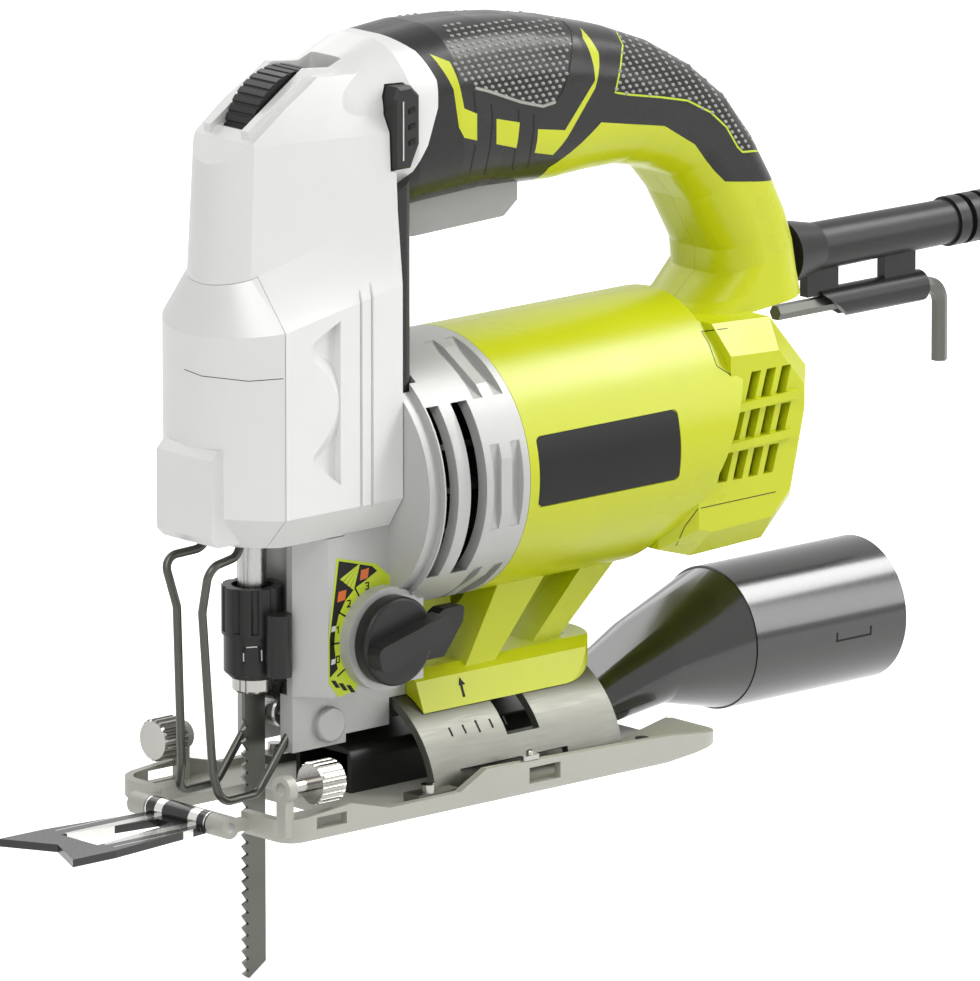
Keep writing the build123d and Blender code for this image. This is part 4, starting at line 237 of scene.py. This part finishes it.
# Colour, roughness, then the grain's size and depth in m and what else differs from plain plastic.
NODE_LOOKS = {
    "lime_plastic": dict(code="cad218", rough=0.30, grain=0.03, spread=0.02, shine=0.4),
    "silver_plastic": dict(code="e6e6e4", rough=0.40, grain=0.03, metallic=0.12, spread=0.015),
    "rubber_grip": dict(code="191918", rough=0.28, grain=0.01, shine=0.3),
    "cast_alloy": dict(code="b8b8b6", rough=0.44, grain=0.0008, depth=5e-5, metallic=0.25, spread=0.04),
    "black_plastic": dict(code="222221", rough=0.36, grain=0.0005, depth=2e-5, spread=0.10, shine=0.3),
    "smoke_plastic": dict(
        code="1c1c1b", rough=0.20, grain=0.001, depth=1e-5, spread=0.08, coat=0.35, shine=0.6,
    ),
    "grey_plastic": dict(code="a2a39f", rough=0.36, grain=0.0005, depth=3e-5, spread=0.04),
    "steel": dict(code="a8a8a6", rough=0.28, grain=0.0004, depth=1e-5, metallic=1.0, stretch=(1, 1, 12)),
    "wire_steel": dict(code="54544f", rough=0.34, grain=0.0005, depth=1e-5, metallic=0.9, spread=0.08),
    "blade_steel": dict(
        code="62645e", rough=0.40, grain=0.0003, depth=1e-5, metallic=0.85, stretch=(1, 1, 20),
    ),
    "zinc_steel": dict(
        code="6f6f68", rough=0.40, grain=0.0004, depth=1e-5, metallic=0.85, stretch=(20, 1, 1),
    ),
    "nickel": dict(code="a6a49f", rough=0.14, grain=0.0006, depth=1e-5, metallic=1.0, spread=0.04),
    "copper": dict(code="b4623a", rough=0.30, grain=0.0008, depth=4e-5, metallic=1.0, stretch=(12, 1, 1)),
    "carbon": dict(code="1c1c1c", rough=0.60, grain=0.0004, depth=3e-5),
    "bronze": dict(code="b48a4a", rough=0.38, grain=0.0005, depth=2e-5, metallic=1.0),
}
TRIM_LOOKS = {
    "plate": dict(code="1b1b1a", rough=0.40, grain=0.0006, depth=1e-5, spread=0.08, shine=0.2),
    "ink": dict(code="161615", rough=0.50, grain=0.0006, depth=1e-5, spread=0.05, shine=0.2),
    "print_lime": dict(code="c4d722", rough=0.42, grain=0.0006, depth=1e-5, spread=0.03),
    # This white is the label's print and also the painted highlights on the collar's catch.
    "print_white": dict(code="d9d9d6", rough=0.42, grain=0.0006, depth=1e-5, spread=0.03),
    "print_orange": dict(code="d96a1e", rough=0.42, grain=0.0006, depth=1e-5, spread=0.04),
    # The stud grey is a painted sheen of the glossy dark rubber; it also gives the grip's rim its painted
    # highlight.
    "stud": dict(code="a3a29b", rough=0.22, grain=0.0006, depth=1e-5, spread=0.05),
    "matt_zinc": dict(
        code="b2b1a8", rough=0.46, grain=0.0004, depth=1e-5, metallic=0.2, spread=0.03, stretch=(20, 1, 1),
    ),
}
DRIFT_SIZE = 0.03       # m, of the slow drift of tone
DRIFT_DETAIL = 3.0
GRAIN_DETAIL = 4.0
GRAIN_STRENGTH = 0.35
ROUGH_LOW = 0.88
ROUGH_HIGH = 1.12
COAT_ROUGH = 0.12
NOISE_LOW = 0.3         # most of a noise lies between these
NOISE_HIGH = 0.7

# Bright bands across the sight, as shares of its width from the left, with 0 for black and 1 for plating. The
# bands are partly plating and partly painted highlight along the rails.
SIGHT_HALF = 20.0
SIGHT_TIP = -123.0      # from the frame's origin; the tip ahead of it is black
SIGHT_BLEND = 0.1
SIGHT_HIGHLIGHT_BANDS = [
    (0.0, 0.0), (0.19, 1.0), (0.20, 0.0), (0.27, 1.0), (0.36, 0.0),
    (0.63, 1.0), (0.71, 0.0), (0.80, 1.0), (0.81, 0.0),
]
SIGHT_BLACK = "1d1d1c"
SIGHT_PLATED_HIGHLIGHT = "d8d8d4"
SIGHT_GRAIN = 0.0008
SIGHT_ROUGH = (0.16, 0.26)

SEAM_X = -20.5          # from the frame's origin; the shell is dark ahead of it
SEAM_BLEND = 0.2
SEAM_COLOUR = "2a2927"

# The photograph's camera, measured in the frame of the part.
IMAGE_WIDTH = 980
IMAGE_HEIGHT = 981
SENSOR = 36.0
FOCAL_PIXELS = 16000.0
PIXELS_PER_MM = 3.63
AZIMUTH = math.radians(-42.0)
ELEVATION = math.radians(13.0)
BLADE_AXIS_PIXEL = (253.0, 812.0)

# Soft boxes: place from the part's middle, width and height in m, power in W.
SOFT_BOXES = [
    ("key_light", (-1.15, -0.75, 1.25), 1.1, 1.1, 14.5),
    ("band_light", (1.1, -0.42, 1.15), 0.8, 0.45, 12.5),
    ("side_light", (1.1, -1.05, 0.62), 0.45, 1.1, 7),
    ("back_light", (0.2, 1.4, 0.9), 1.2, 0.8, 6),
]
WHITE = (1, 1, 1, 1)
SKY_LIGHT = 0.26        # strength of the sky for the rays that light the part
SKY_SEEN = 1.0
FLOOR_HALF = 6.0        # m
FLOOR_CELLS = 8
FLOOR_BELOW = 0.0005    # m
FLOOR_GRAIN = 0.4
FLOOR_TONES = ("f2f2f2", "f8f8f8")
FLOOR_ROUGH = 0.9
FLOOR_GLOW = 0.6


def linear(code):
    """The linear colour of a hexadecimal sRGB code."""
    shares = [int(code[i:i + 2], 16) / 255 for i in (0, 2, 4)]
    return [c / 12.92 if c <= 0.04045 else ((c + 0.055) / 1.055) ** 2.4 for c in shares] + [1.0]


def shaded(colour, change):
    """The colour, darker or lighter by a share."""
    return [min(1.0, c * (1 + change)) for c in colour[:3]] + [1.0]


class Shader:
    """A node material whose colour, roughness and bump come from procedural textures in the part's frame."""

    def __init__(self, name):
        self.material = bpy.data.materials.new(name)
        self.material.use_nodes = True
        self.tree = self.material.node_tree
        self.bsdf = self.tree.nodes["Principled BSDF"]
        self.place = self.add("ShaderNodeTexCoord").outputs["Object"]

    def add(self, kind, **values):
        """A new node, with values for its properties or its inputs."""
        node = self.tree.nodes.new(kind)
        for key, value in values.items():
            if hasattr(node, key):
                setattr(node, key, value)
            else:
                node.inputs[key].default_value = value
        return node

    def link(self, source, target):
        self.tree.links.new(source, target)

    def drive(self, source, name):
        """The source sets one input of the surface."""
        self.link(source, self.bsdf.inputs[name])

    def fix(self, name, value):
        """One input of the surface that is the same all over."""
        self.bsdf.inputs[name].default_value = value

    def axis(self, name):
        """A coordinate of the place, in m."""
        axes = self.add("ShaderNodeSeparateXYZ")
        self.link(self.place, axes.inputs["Vector"])
        return axes.outputs[name]

    def noise(self, size, detail=DRIFT_DETAIL, stretch=(1, 1, 1)):
        """Noise whose grains are about size metres across, stretched by a factor along each axis."""
        mapping = self.add("ShaderNodeMapping", Scale=[1 / (size * s) for s in stretch])
        self.link(self.place, mapping.inputs["Vector"])
        texture = self.add("ShaderNodeTexNoise", Scale=1.0, Detail=detail)
        self.link(mapping.outputs["Vector"], texture.inputs["Vector"])
        return texture.outputs["Fac"]

    def between(self, factor, low, high, start=NOISE_LOW, end=NOISE_HIGH):
        """A number that goes from low to high as the factor goes from start to end."""
        node = self.add("ShaderNodeMapRange")
        node.inputs["From Min"].default_value = start
        node.inputs["From Max"].default_value = end
        node.inputs["To Min"].default_value = low
        node.inputs["To Max"].default_value = high
        self.link(factor, node.inputs["Value"])
        return node.outputs["Result"]

    def tones(self, factor, dark, light):
        """A colour that goes from dark to light over most of a noise."""
        node = self.add("ShaderNodeValToRGB")
        first, last = node.color_ramp.elements
        first.position, first.color = NOISE_LOW, dark
        last.position, last.color = NOISE_HIGH, light
        self.link(factor, node.inputs["Fac"])
        return node.outputs["Color"]

    def bump(self, factor, depth):
        """Relief of a depth in m."""
        node = self.add("ShaderNodeBump", Distance=depth, Strength=GRAIN_STRENGTH)
        self.link(factor, node.inputs["Height"])
        self.drive(node.outputs["Normal"], "Normal")


def finish(name, code, rough, grain, depth=0.0, metallic=0.0, spread=0.06, coat=0.0, stretch=(1, 1, 1),
           shine=0.5):
    """A moulded, cast, brushed or rubbed surface: a slow drift of tone, and a fine grain in gloss and relief.

    Sizes are in metres. The grain is stretched along each axis by a factor.
    """
    shader = Shader(name)
    base = linear(code)
    drift = shader.noise(DRIFT_SIZE)
    fine = shader.noise(grain, GRAIN_DETAIL, stretch)
    shader.drive(shader.tones(drift, shaded(base, -spread), shaded(base, spread)), "Base Color")
    shader.drive(shader.between(fine, rough * ROUGH_LOW, rough * ROUGH_HIGH), "Roughness")
    shader.fix("Metallic", metallic)
    shader.fix("Specular IOR Level", shine)
    shader.fix("Coat Weight", coat)
    shader.fix("Coat Roughness", COAT_ROUGH)
    if depth > 0:
        shader.bump(fine, depth)
    return shader


FINISHES = {name: finish(name, **look).material for name, look in NODE_LOOKS.items()}
TRIM = {name: finish(name, **look).material for name, look in TRIM_LOOKS.items()}


def sight_finish():
    """Black moulding with bright plating on rails and bands, told apart by their place across the sight; the
    bands are partly painted highlights of the rails.
    """
    shader = Shader("sight_black_and_plate_highlight")
    bands = shader.add("ShaderNodeValToRGB")
    bands.color_ramp.interpolation = "CONSTANT"
    stops = bands.color_ramp.elements
    for place, _ in SIGHT_HIGHLIGHT_BANDS[len(stops):]:
        stops.new(place)
    for stop, (place, level) in zip(stops, SIGHT_HIGHLIGHT_BANDS):
        stop.position = place
        stop.color = (level, level, level, 1.0)
    across = shader.between(shader.axis("Y"), 0.0, 1.0, -SIGHT_HALF * MM, SIGHT_HALF * MM)
    shader.link(across, bands.inputs["Fac"])
    tip = ((SIGHT_TIP - SIGHT_BLEND) * MM, (SIGHT_TIP + SIGHT_BLEND) * MM)
    behind_tip = shader.between(shader.axis("X"), 0.0, 1.0, *tip)
    bright = shader.add("ShaderNodeMath", operation="MULTIPLY")
    shader.link(bands.outputs["Color"], bright.inputs[0])
    shader.link(behind_tip, bright.inputs[1])
    # The bright bands are partly plating and partly painted highlight.
    plate_highlight = bright.outputs["Value"]
    shader.drive(shader.tones(plate_highlight, linear(SIGHT_BLACK), linear(SIGHT_PLATED_HIGHLIGHT)), "Base Color")
    shader.drive(plate_highlight, "Metallic")
    shader.drive(shader.between(shader.noise(SIGHT_GRAIN), *SIGHT_ROUGH), "Roughness")
    return shader.material


def shell_finish():
    """The lime plastic, dark at its front end, which only shows as a seam between the head and the grips."""
    shader = finish("lime_shell", **NODE_LOOKS["lime_plastic"])
    lime = shader.bsdf.inputs["Base Color"].links[0].from_socket
    seam = ((SEAM_X - SEAM_BLEND) * MM, (SEAM_X + SEAM_BLEND) * MM)
    mix = shader.add("ShaderNodeMix", data_type="RGBA", A=linear(SEAM_COLOUR))
    shader.link(shader.between(shader.axis("X"), 0.0, 1.0, *seam), mix.inputs["Factor"])
    shader.link(lime, mix.inputs["B"])
    shader.drive(mix.outputs["Result"], "Base Color")
    return shader.material


def dress_nodes():
    """Every node takes the finish of its slot in the record, but the sight, the shoe's tray and the shell."""
    shell = shell_finish()
    for part in frame["record"]["subparts"]:
        material = FINISHES[part["material_slot"]]
        if part["node"] == "cut_sight":
            material = sight_finish()
        elif part["node"] == "shoe_plate":
            material = TRIM["matt_zinc"]
        elif part["node"].startswith("housing_") and part["material_slot"] == "lime_plastic":
            material = shell
        mesh = NODES[part["node"]].data
        mesh.materials.clear()
        mesh.materials.append(material)


def bridge(count, rings):
    """The faces between rings of points that follow each other, each with as many points as count says."""
    faces = []
    for ring in range(rings - 1):
        for k in range(count):
            a = ring * count + k
            b = ring * count + (k + 1) % count
            faces.append([a, b, b + count, a + count])
    return faces


class Form:
    """A mesh that is put together from small shapes, in mm from the blade's axis."""

    def __init__(self):
        self.points = []
        self.faces = []

    def add(self, points, faces):
        first = len(self.points)
        self.points += [Vector(p) for p in points]
        self.faces += [[first + i for i in face] for face in faces]

    def slab(self, outline, place, right, up, thick, sunk=SUNK):
        """A flat outline in the plane of right and up, raised by thick along their cross product."""
        right = Vector(right).normalized()
        up = Vector(up).normalized()
        out = right.cross(up)
        base = [Vector(place) + right * u + up * v - out * sunk for u, v in outline]
        top = [p + out * (thick + sunk) for p in base]
        count = len(outline)
        caps = [list(range(count))[::-1], list(range(count, 2 * count))]
        self.add(base + top, caps + bridge(count, 2))

    def stroke(self, line, width, place, right, up, thick):
        """A drawn line of straight strokes."""
        for (u0, v0), (u1, v1) in zip(line, line[1:]):
            along = Vector((u1 - u0, v1 - v0)).normalized() * width / 2
            side = Vector((-along.y, along.x))
            start = Vector((u0, v0)) - along
            end = Vector((u1, v1)) + along
            self.slab([start - side, end - side, end + side, start + side], place, right, up, thick)

    def turned(self, profile, place, axis):
        """A profile of (radius, height) turned round the axis, closed at both ends."""
        sides = TURNED_SIDES
        axis = Vector(axis).normalized()
        first = axis.orthogonal().normalized()
        second = axis.cross(first)
        points = []
        for radius, height in profile:
            for k in range(sides):
                turn = math.tau * k / sides
                spoke = first * math.cos(turn) + second * math.sin(turn)
                points.append(Vector(place) + axis * height + spoke * radius)
        caps = [list(range(sides))[::-1], list(range(len(points) - sides, len(points)))]
        self.add(points, caps + bridge(sides, len(profile)))

    def make(self, name, body, slot, material, smooth=False):
        """The form as a piece that rides on a body."""
        mesh = bpy.data.meshes.new(name)
        mesh.from_pydata([(p + FRAME_SHIFT) * MM for p in self.points], [], self.faces)
        mesh.materials.append(material)
        if smooth:
            mesh.shade_smooth()
        else:
            mesh.shade_flat()
        made = bpy.data.objects.new(name, mesh)
        bpy.context.scene.collection.objects.link(made)
        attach(made, body)


def side_plate():
    """A bare dark plate in the shallow recess on the barrel's left side."""
    width, height = PLATE_SIZE
    points = []
    for radius in (BARREL_RADIUS - PLATE_DEPTH - SUNK, BARREL_RADIUS - PLATE_BELOW):
        for k in range(PLATE_ROWS + 1):
            v = height * (k / PLATE_ROWS - 0.5)
            over = max(0.0, abs(v) - height / 2 + PLATE_CORNER)
            half = width / 2 - PLATE_CORNER + math.sqrt(PLATE_CORNER ** 2 - over ** 2)
            z = PLATE_Z + v
            y = -math.sqrt(radius ** 2 - (z - MOTOR_Z) ** 2)
            points += [(PLATE_X - half, y, z), (PLATE_X + half, y, z)]
    step = 2 * (PLATE_ROWS + 1)
    faces = []
    for k in range(PLATE_ROWS):
        a = 2 * k
        faces.append([a, a + 2, a + 3, a + 1])
        faces.append([step + a, step + a + 1, step + a + 3, step + a + 2])
        faces.append([a, step + a, step + a + 2, a + 2])
        faces.append([a + 1, a + 3, step + a + 3, step + a + 1])
    faces.append([0, 1, step + 1, step])
    faces.append([step - 2, 2 * step - 2, 2 * step - 1, step - 1])
    form = Form()
    form.add(points, faces)
    form.make("side_plate", "tool", "black_plastic", TRIM["plate"])


def about_knob(radius, angle):
    """A point of the label, from the knob's axis, on the flat side of the case."""
    turn = math.radians(angle)
    return KNOB_X + radius * math.cos(turn), KNOB_Z + radius * math.sin(turn)


def selector_label():
    """A lime label with a dark field, stop numbers, marks and bars round the orbit knob."""
    flat = ((0.0, -CASE_HALF, 0.0), X_AXIS, Z_AXIS)
    lime = Form()
    lime.slab(LABEL_OUTLINE, *flat, LABEL_HIGH)
    lime.make("label_base", "tool", "black_plastic", TRIM["print_lime"])
    dark = Form()
    dark.slab(LABEL_FIELD, *flat, LABEL_INK_HIGH)
    for angle in LABEL_LINES:
        ends = [about_knob(radius, angle) for radius in LABEL_LINE_ENDS]
        dark.stroke(ends, LABEL_LINE_WIDTH, *flat, LABEL_INK_HIGH)
    for x, z in LABEL_BARS:
        dark.slab([(x + u, z + v) for u, v in LABEL_BAR], *flat, LABEL_INK_HIGH)
    for angle, digit in zip(LABEL_STOPS, DIGITS):
        x, z = about_knob(DIGIT_RADIUS, angle)
        for line in digit:
            spots = [(x + DIGIT_SCALE * u, z + DIGIT_SCALE * v) for u, v in line]
            dark.stroke(spots, DIGIT_WIDTH, *flat, LABEL_INK_HIGH)
    dark.make("label_field", "tool", "black_plastic", TRIM["ink"])
    for name, stops, radius, half in LABEL_MARKS:
        marks = Form()
        for angle in stops:
            x, z = about_knob(radius, angle)
            marks.slab([(x + half * u, z + half * v) for u, v in LABEL_MARK], *flat, LABEL_MARK_HIGH)
        marks.make("label_" + name, "tool", "black_plastic", TRIM[name])
    sweep = Form()
    for k in range(SWEEP_RAYS):
        foot = [(x + SWEEP_STEP[0] * k, z + SWEEP_STEP[1] * k) for x, z in SWEEP_FOOT]
        sweep.slab([SWEEP_TIP] + foot, *flat, LABEL_MARK_HIGH)
    sweep.make("label_sweep", "tool", "black_plastic", TRIM["print_lime"])


def surface(node):
    """A node's surface, ready for rays."""
    mesh = NODES[node].data
    return BVHTree.FromPolygons([v.co for v in mesh.vertices], [p.vertices for p in mesh.polygons])


def seen_point(tree, x, y, z):
    """Where the photograph's line of sight through a point meets a surface, in mm, with the normal there."""
    back = camera_back()
    start = (Vector((x, y, z)) + FRAME_SHIFT) * MM + back * RAY_START
    place, normal = tree.ray_cast(start, -back)[:2]
    if place is None:
        return None, None
    return place / MM - FRAME_SHIFT, normal


def drawn_line(form, tree, line, plane, width, high, mirror=False):
    """A narrow raised ribbon that follows a surface under a line drawn in the plane beside it."""
    spots = []
    for (x0, z0), (x1, z1) in zip(line, line[1:]):
        steps = max(2, int(math.hypot(x1 - x0, z1 - z0) / LINE_STEP))
        for k in range(steps):
            share = k / steps
            spots.append((x0 + (x1 - x0) * share, z0 + (z1 - z0) * share))
    spots.append(line[-1])
    met = [seen_point(tree, x, plane, z) for x, z in spots]
    met = [(spot, normal) for spot, normal in met if spot is not None]
    if mirror:
        met = [(MIRROR @ spot, MIRROR @ normal) for spot, normal in met]
    points = []
    for k, (spot, normal) in enumerate(met):
        along = met[min(k + 1, len(met) - 1)][0] - met[max(k - 1, 0)][0]
        across = normal.cross(along).normalized() * width / 2
        low = spot - normal * LINE_ROOT
        points += [low - across, low + across]
        points += [spot + across * LINE_TOP + normal * high, spot - across * LINE_TOP + normal * high]
    last = len(points) - 1
    caps = [[0, 1, 2, 3], [last, last - 1, last - 2, last - 3]]
    form.add(points, caps + [[a, d, c, b] for a, b, c, d in bridge(4, len(met))])


def line_piece(name, node, body, slot, trim, lines, plane, width, high, mirror=False):
    """Lines drawn on a node, as one piece."""
    tree = surface(node)
    form = Form()
    for line in lines:
        drawn_line(form, tree, line, plane, width, high, mirror)
    form.make(name, body, slot, TRIM[trim])


def drawn_lines():
    """The grips' border lines, grooves in painted shade and a rim with a painted highlight, the seams of
    shell and front cover, and the collar's catch with painted highlights on its edges.
    """
    for name, *row in SIDE_LINES:
        line_piece(name + "_left", *row)
        line_piece(name + "_right", *row, mirror=True)
    for row in SINGLE_LINES:
        line_piece(*row)


def inside(point, outline):
    """Whether a point of the plane is inside an outline."""
    x, z = point
    found = False
    for (x0, z0), (x1, z1) in zip(outline, outline[1:] + outline[:1]):
        if (z0 > z) != (z1 > z) and x < x0 + (z - z0) / (z1 - z0) * (x1 - x0):
            found = not found
    return found


def stud(form, spot, normal):
    """One low oval stud, longer along the handle."""
    along = (STUD_ALONG - normal * STUD_ALONG.dot(normal)).normalized()
    across = normal.cross(along)
    sides = STUD_SIDES
    points = []
    for share, height in ((1.0, -STUD_ROOT), (STUD_SHOULDER[0], STUD_SHOULDER[1] * STUD_HIGH)):
        for k in range(sides):
            turn = math.tau * k / sides
            reach = along * (STUD_LONG / 2 * math.cos(turn)) + across * (STUD_WIDE / 2 * math.sin(turn))
            points.append(spot + reach * share + normal * height)
    points.append(spot + normal * STUD_HIGH)
    tip = [[sides + k, sides + (k + 1) % sides, 2 * sides] for k in range(sides)]
    form.add(points, bridge(sides, 2) + tip + [list(range(sides))[::-1]])


def grip_studs():
    """Rows of small raised studs on the rubber of both sides, where the palm lies, in a light grey that
    paints the glossy rubber's sheen.
    """
    tree = surface("grip_left")
    top = cad_high.z / MM - STUD_HIGH
    left, right = Form(), Form()
    for patch in STUD_PATCHES:
        across, up = zip(*patch)
        rows = int((max(up) - min(up)) / STUD_ROW) + 1
        columns = int((max(across) - min(across)) / STUD_STEP) + 1
        for row in range(rows):
            z = min(up) + row * STUD_ROW
            for column in range(columns):
                x = min(across) + (column + 0.5 * (row % 2)) * STUD_STEP
                if not inside((x, z), patch):
                    continue
                spot, normal = seen_point(tree, x, PATCH_Y, z)
                if spot is None or normal.y > STUD_TURN or spot.z > top:
                    continue
                stud(left, spot, normal)
                stud(right, MIRROR @ spot, MIRROR @ normal)
    left.make("grip_studs_left", "tool", "rubber_grip", TRIM["stud"], smooth=True)
    right.make("grip_studs_right", "tool", "rubber_grip", TRIM["stud"], smooth=True)


def left_round(degrees):
    """The outward and upward directions on the left of a form along X, at an angle above the horizontal."""
    turn = math.radians(degrees)
    return Vector((0.0, -math.cos(turn), math.sin(turn))), Vector((0.0, math.sin(turn), math.cos(turn)))


def tilt_marks():
    """A pointer on the saddle and a zero line between shorter ones on the cradle."""
    (low_y, low_z), (high_y, high_z) = SADDLE_FACET
    slope = Vector((0.0, high_y - low_y, high_z - low_z))
    foot = Vector((MARK_X, low_y, low_z)) + slope * POINTER_START
    pointer = Form()
    pointer.slab(POINTER, foot, X_AXIS, slope, MARK_HIGH)
    pointer.make("tilt_pointer", "tool", "lime_plastic", TRIM["ink"])
    out, up = left_round(SCALE_TURN)
    scale = Form()
    for step in range(-SCALE_REACH, SCALE_REACH + 1):
        place = out * CRADLE_RADIUS + Vector((MARK_X + SCALE_STEP * step, 0.0, 0.0))
        tall = SCALE_LINE if step else SCALE_ZERO
        scale.stroke([(0.0, -tall / 2), (0.0, tall / 2)], SCALE_WIDTH, place, X_AXIS, up, MARK_HIGH)
    scale.make("tilt_scale", "shoe", "zinc_steel", TRIM["ink"])


def button_bars():
    """Three short bars and a bright edge line on the lock button."""
    low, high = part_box("lock_button")
    face = low.y / MM
    middle_x = (low.x + high.x) / 2 / MM - FRAME_SHIFT.x
    middle_z = (low.z + high.z) / 2 / MM
    bars = Form()
    for step in (-1, 0, 1):
        place = (middle_x, face, middle_z + BUTTON_BAR_STEP * step)
        bars.slab(BUTTON_BAR, place, X_AXIS, Z_AXIS, BUTTON_BAR_HIGH)
    bars.make("button_bars", "lock_button", "black_plastic", TRIM["ink"])
    line = Form()
    line.slab(BUTTON_EDGE, (middle_x, face, middle_z), X_AXIS, Z_AXIS, BUTTON_EDGE_HIGH)
    line.make("button_edge", "lock_button", "nickel", FINISHES["nickel"])


def shoe_screw():
    """The bright clip and its screw head on the tray's left wall, low enough for the housing at full tilt."""
    form = Form()
    form.slab(CLIP, SHOE_SCREW, X_AXIS, Y_AXIS, CLIP_HIGH, CLIP_SUNK)
    form.turned(SCREW_HEAD, SHOE_SCREW, Z_AXIS)
    form.make("shoe_screw", "shoe", "nickel", FINISHES["nickel"])


def nozzle_latch():
    """A thin raised catch line on the nozzle's left side."""
    out, up = left_round(CATCH_TURN)
    place = Vector((CATCH_X, 0.0, NOZZLE_Z)) + out * (NOZZLE_RADIUS - CATCH_SUNK)
    form = Form()
    form.stroke(CATCH_LINE, CATCH_WIDTH, place, X_AXIS, up, CATCH_HIGH)
    form.make("nozzle_catch", "nozzle", "smoke_plastic", TRIM["ink"])


def camera_back():
    """The direction from the object to the camera."""
    level = math.cos(ELEVATION)
    return Vector((math.sin(AZIMUTH) * level, -math.cos(AZIMUTH) * level, math.sin(ELEVATION)))


def camera():
    """The photograph's camera, with the blade's axis on the sole at its pixel."""
    back = camera_back()
    right = Vector((math.cos(AZIMUTH), math.sin(AZIMUTH), 0.0))
    up = back.cross(right)
    distance = FOCAL_PIXELS / PIXELS_PER_MM * MM
    pixel = distance / FOCAL_PIXELS
    place = FRAME_SHIFT * MM + back * distance
    place -= right * (BLADE_AXIS_PIXEL[0] - IMAGE_WIDTH / 2) * pixel
    place -= up * (IMAGE_HEIGHT / 2 - BLADE_AXIS_PIXEL[1]) * pixel
    data = bpy.data.cameras.new("camera")
    data.sensor_width = SENSOR
    data.lens = FOCAL_PIXELS * SENSOR / max(IMAGE_WIDTH, IMAGE_HEIGHT)
    made = bpy.data.objects.new("camera", data)
    made.matrix_world = Matrix((right, up, back)).transposed().to_4x4()
    made.location = place
    bpy.context.scene.collection.objects.link(made)
    bpy.context.scene.camera = made


def softbox(name, place, target, width, height, power):
    """A rectangular lamp that points at a target."""
    data = bpy.data.lights.new(name, "AREA")
    data.shape = "RECTANGLE"
    data.size = width
    data.size_y = height
    data.energy = power
    lamp = bpy.data.objects.new(name, data)
    lamp.location = place
    lamp.rotation_euler = (target - place).to_track_quat("-Z", "Y").to_euler()
    bpy.context.scene.collection.objects.link(lamp)


def seen_directly(tree):
    """1 for camera, glossy and transmission rays, and 0 for the rays that light the object."""
    path = tree.nodes.new("ShaderNodeLightPath")
    total = path.outputs["Is Camera Ray"]
    for name in ("Is Glossy Ray", "Is Transmission Ray"):
        node = tree.nodes.new("ShaderNodeMath")
        node.operation = "MAXIMUM"
        tree.links.new(total, node.inputs[0])
        tree.links.new(path.outputs[name], node.inputs[1])
        total = node.outputs["Value"]
    return total


def sky():
    """A white sky that shows brighter than it lights."""
    world = bpy.data.worlds.new("studio")
    world.use_nodes = True
    bpy.context.scene.world = world
    tree = world.node_tree
    background = tree.nodes["Background"]
    background.inputs["Color"].default_value = WHITE
    share = tree.nodes.new("ShaderNodeMapRange")
    share.inputs["To Min"].default_value = SKY_LIGHT
    share.inputs["To Max"].default_value = SKY_SEEN
    tree.links.new(seen_directly(tree), share.inputs["Value"])
    tree.links.new(share.outputs["Result"], background.inputs["Strength"])


def studio():
    """A pale floor, a soft sky and four soft boxes. The band light draws bands along the round forms."""
    sky()
    middle = (cad_low + cad_high) / 2
    for name, offset, width, height, power in SOFT_BOXES:
        softbox(name, middle + Vector(offset), middle, width, height, power)
    mesh = bpy.data.meshes.new("floor")
    shape = bmesh.new()
    bmesh.ops.create_grid(shape, x_segments=FLOOR_CELLS, y_segments=FLOOR_CELLS, size=FLOOR_HALF)
    shape.to_mesh(mesh)
    shape.free()
    floor = bpy.data.objects.new("floor", mesh)
    floor.location = (middle.x, middle.y, cad_low.z - FLOOR_BELOW)
    bpy.context.scene.collection.objects.link(floor)
    pale = Shader("floor_white")
    dark, light = (linear(code) for code in FLOOR_TONES)
    pale.drive(pale.tones(pale.noise(FLOOR_GRAIN), dark, light), "Base Color")
    pale.fix("Roughness", FLOOR_ROUGH)
    pale.fix("Emission Color", WHITE)
    pale.drive(pale.between(seen_directly(pale.tree), 0.0, FLOOR_GLOW, 0.0, 1.0), "Emission Strength")
    mesh.materials.append(pale.material)


def main():
    dress_nodes()
    side_plate()
    selector_label()
    grip_studs()
    drawn_lines()
    tilt_marks()
    button_bars()
    shoe_screw()
    nozzle_latch()
    camera()
    studio()
    bpy.context.scene.view_settings.view_transform = "Standard"


main()
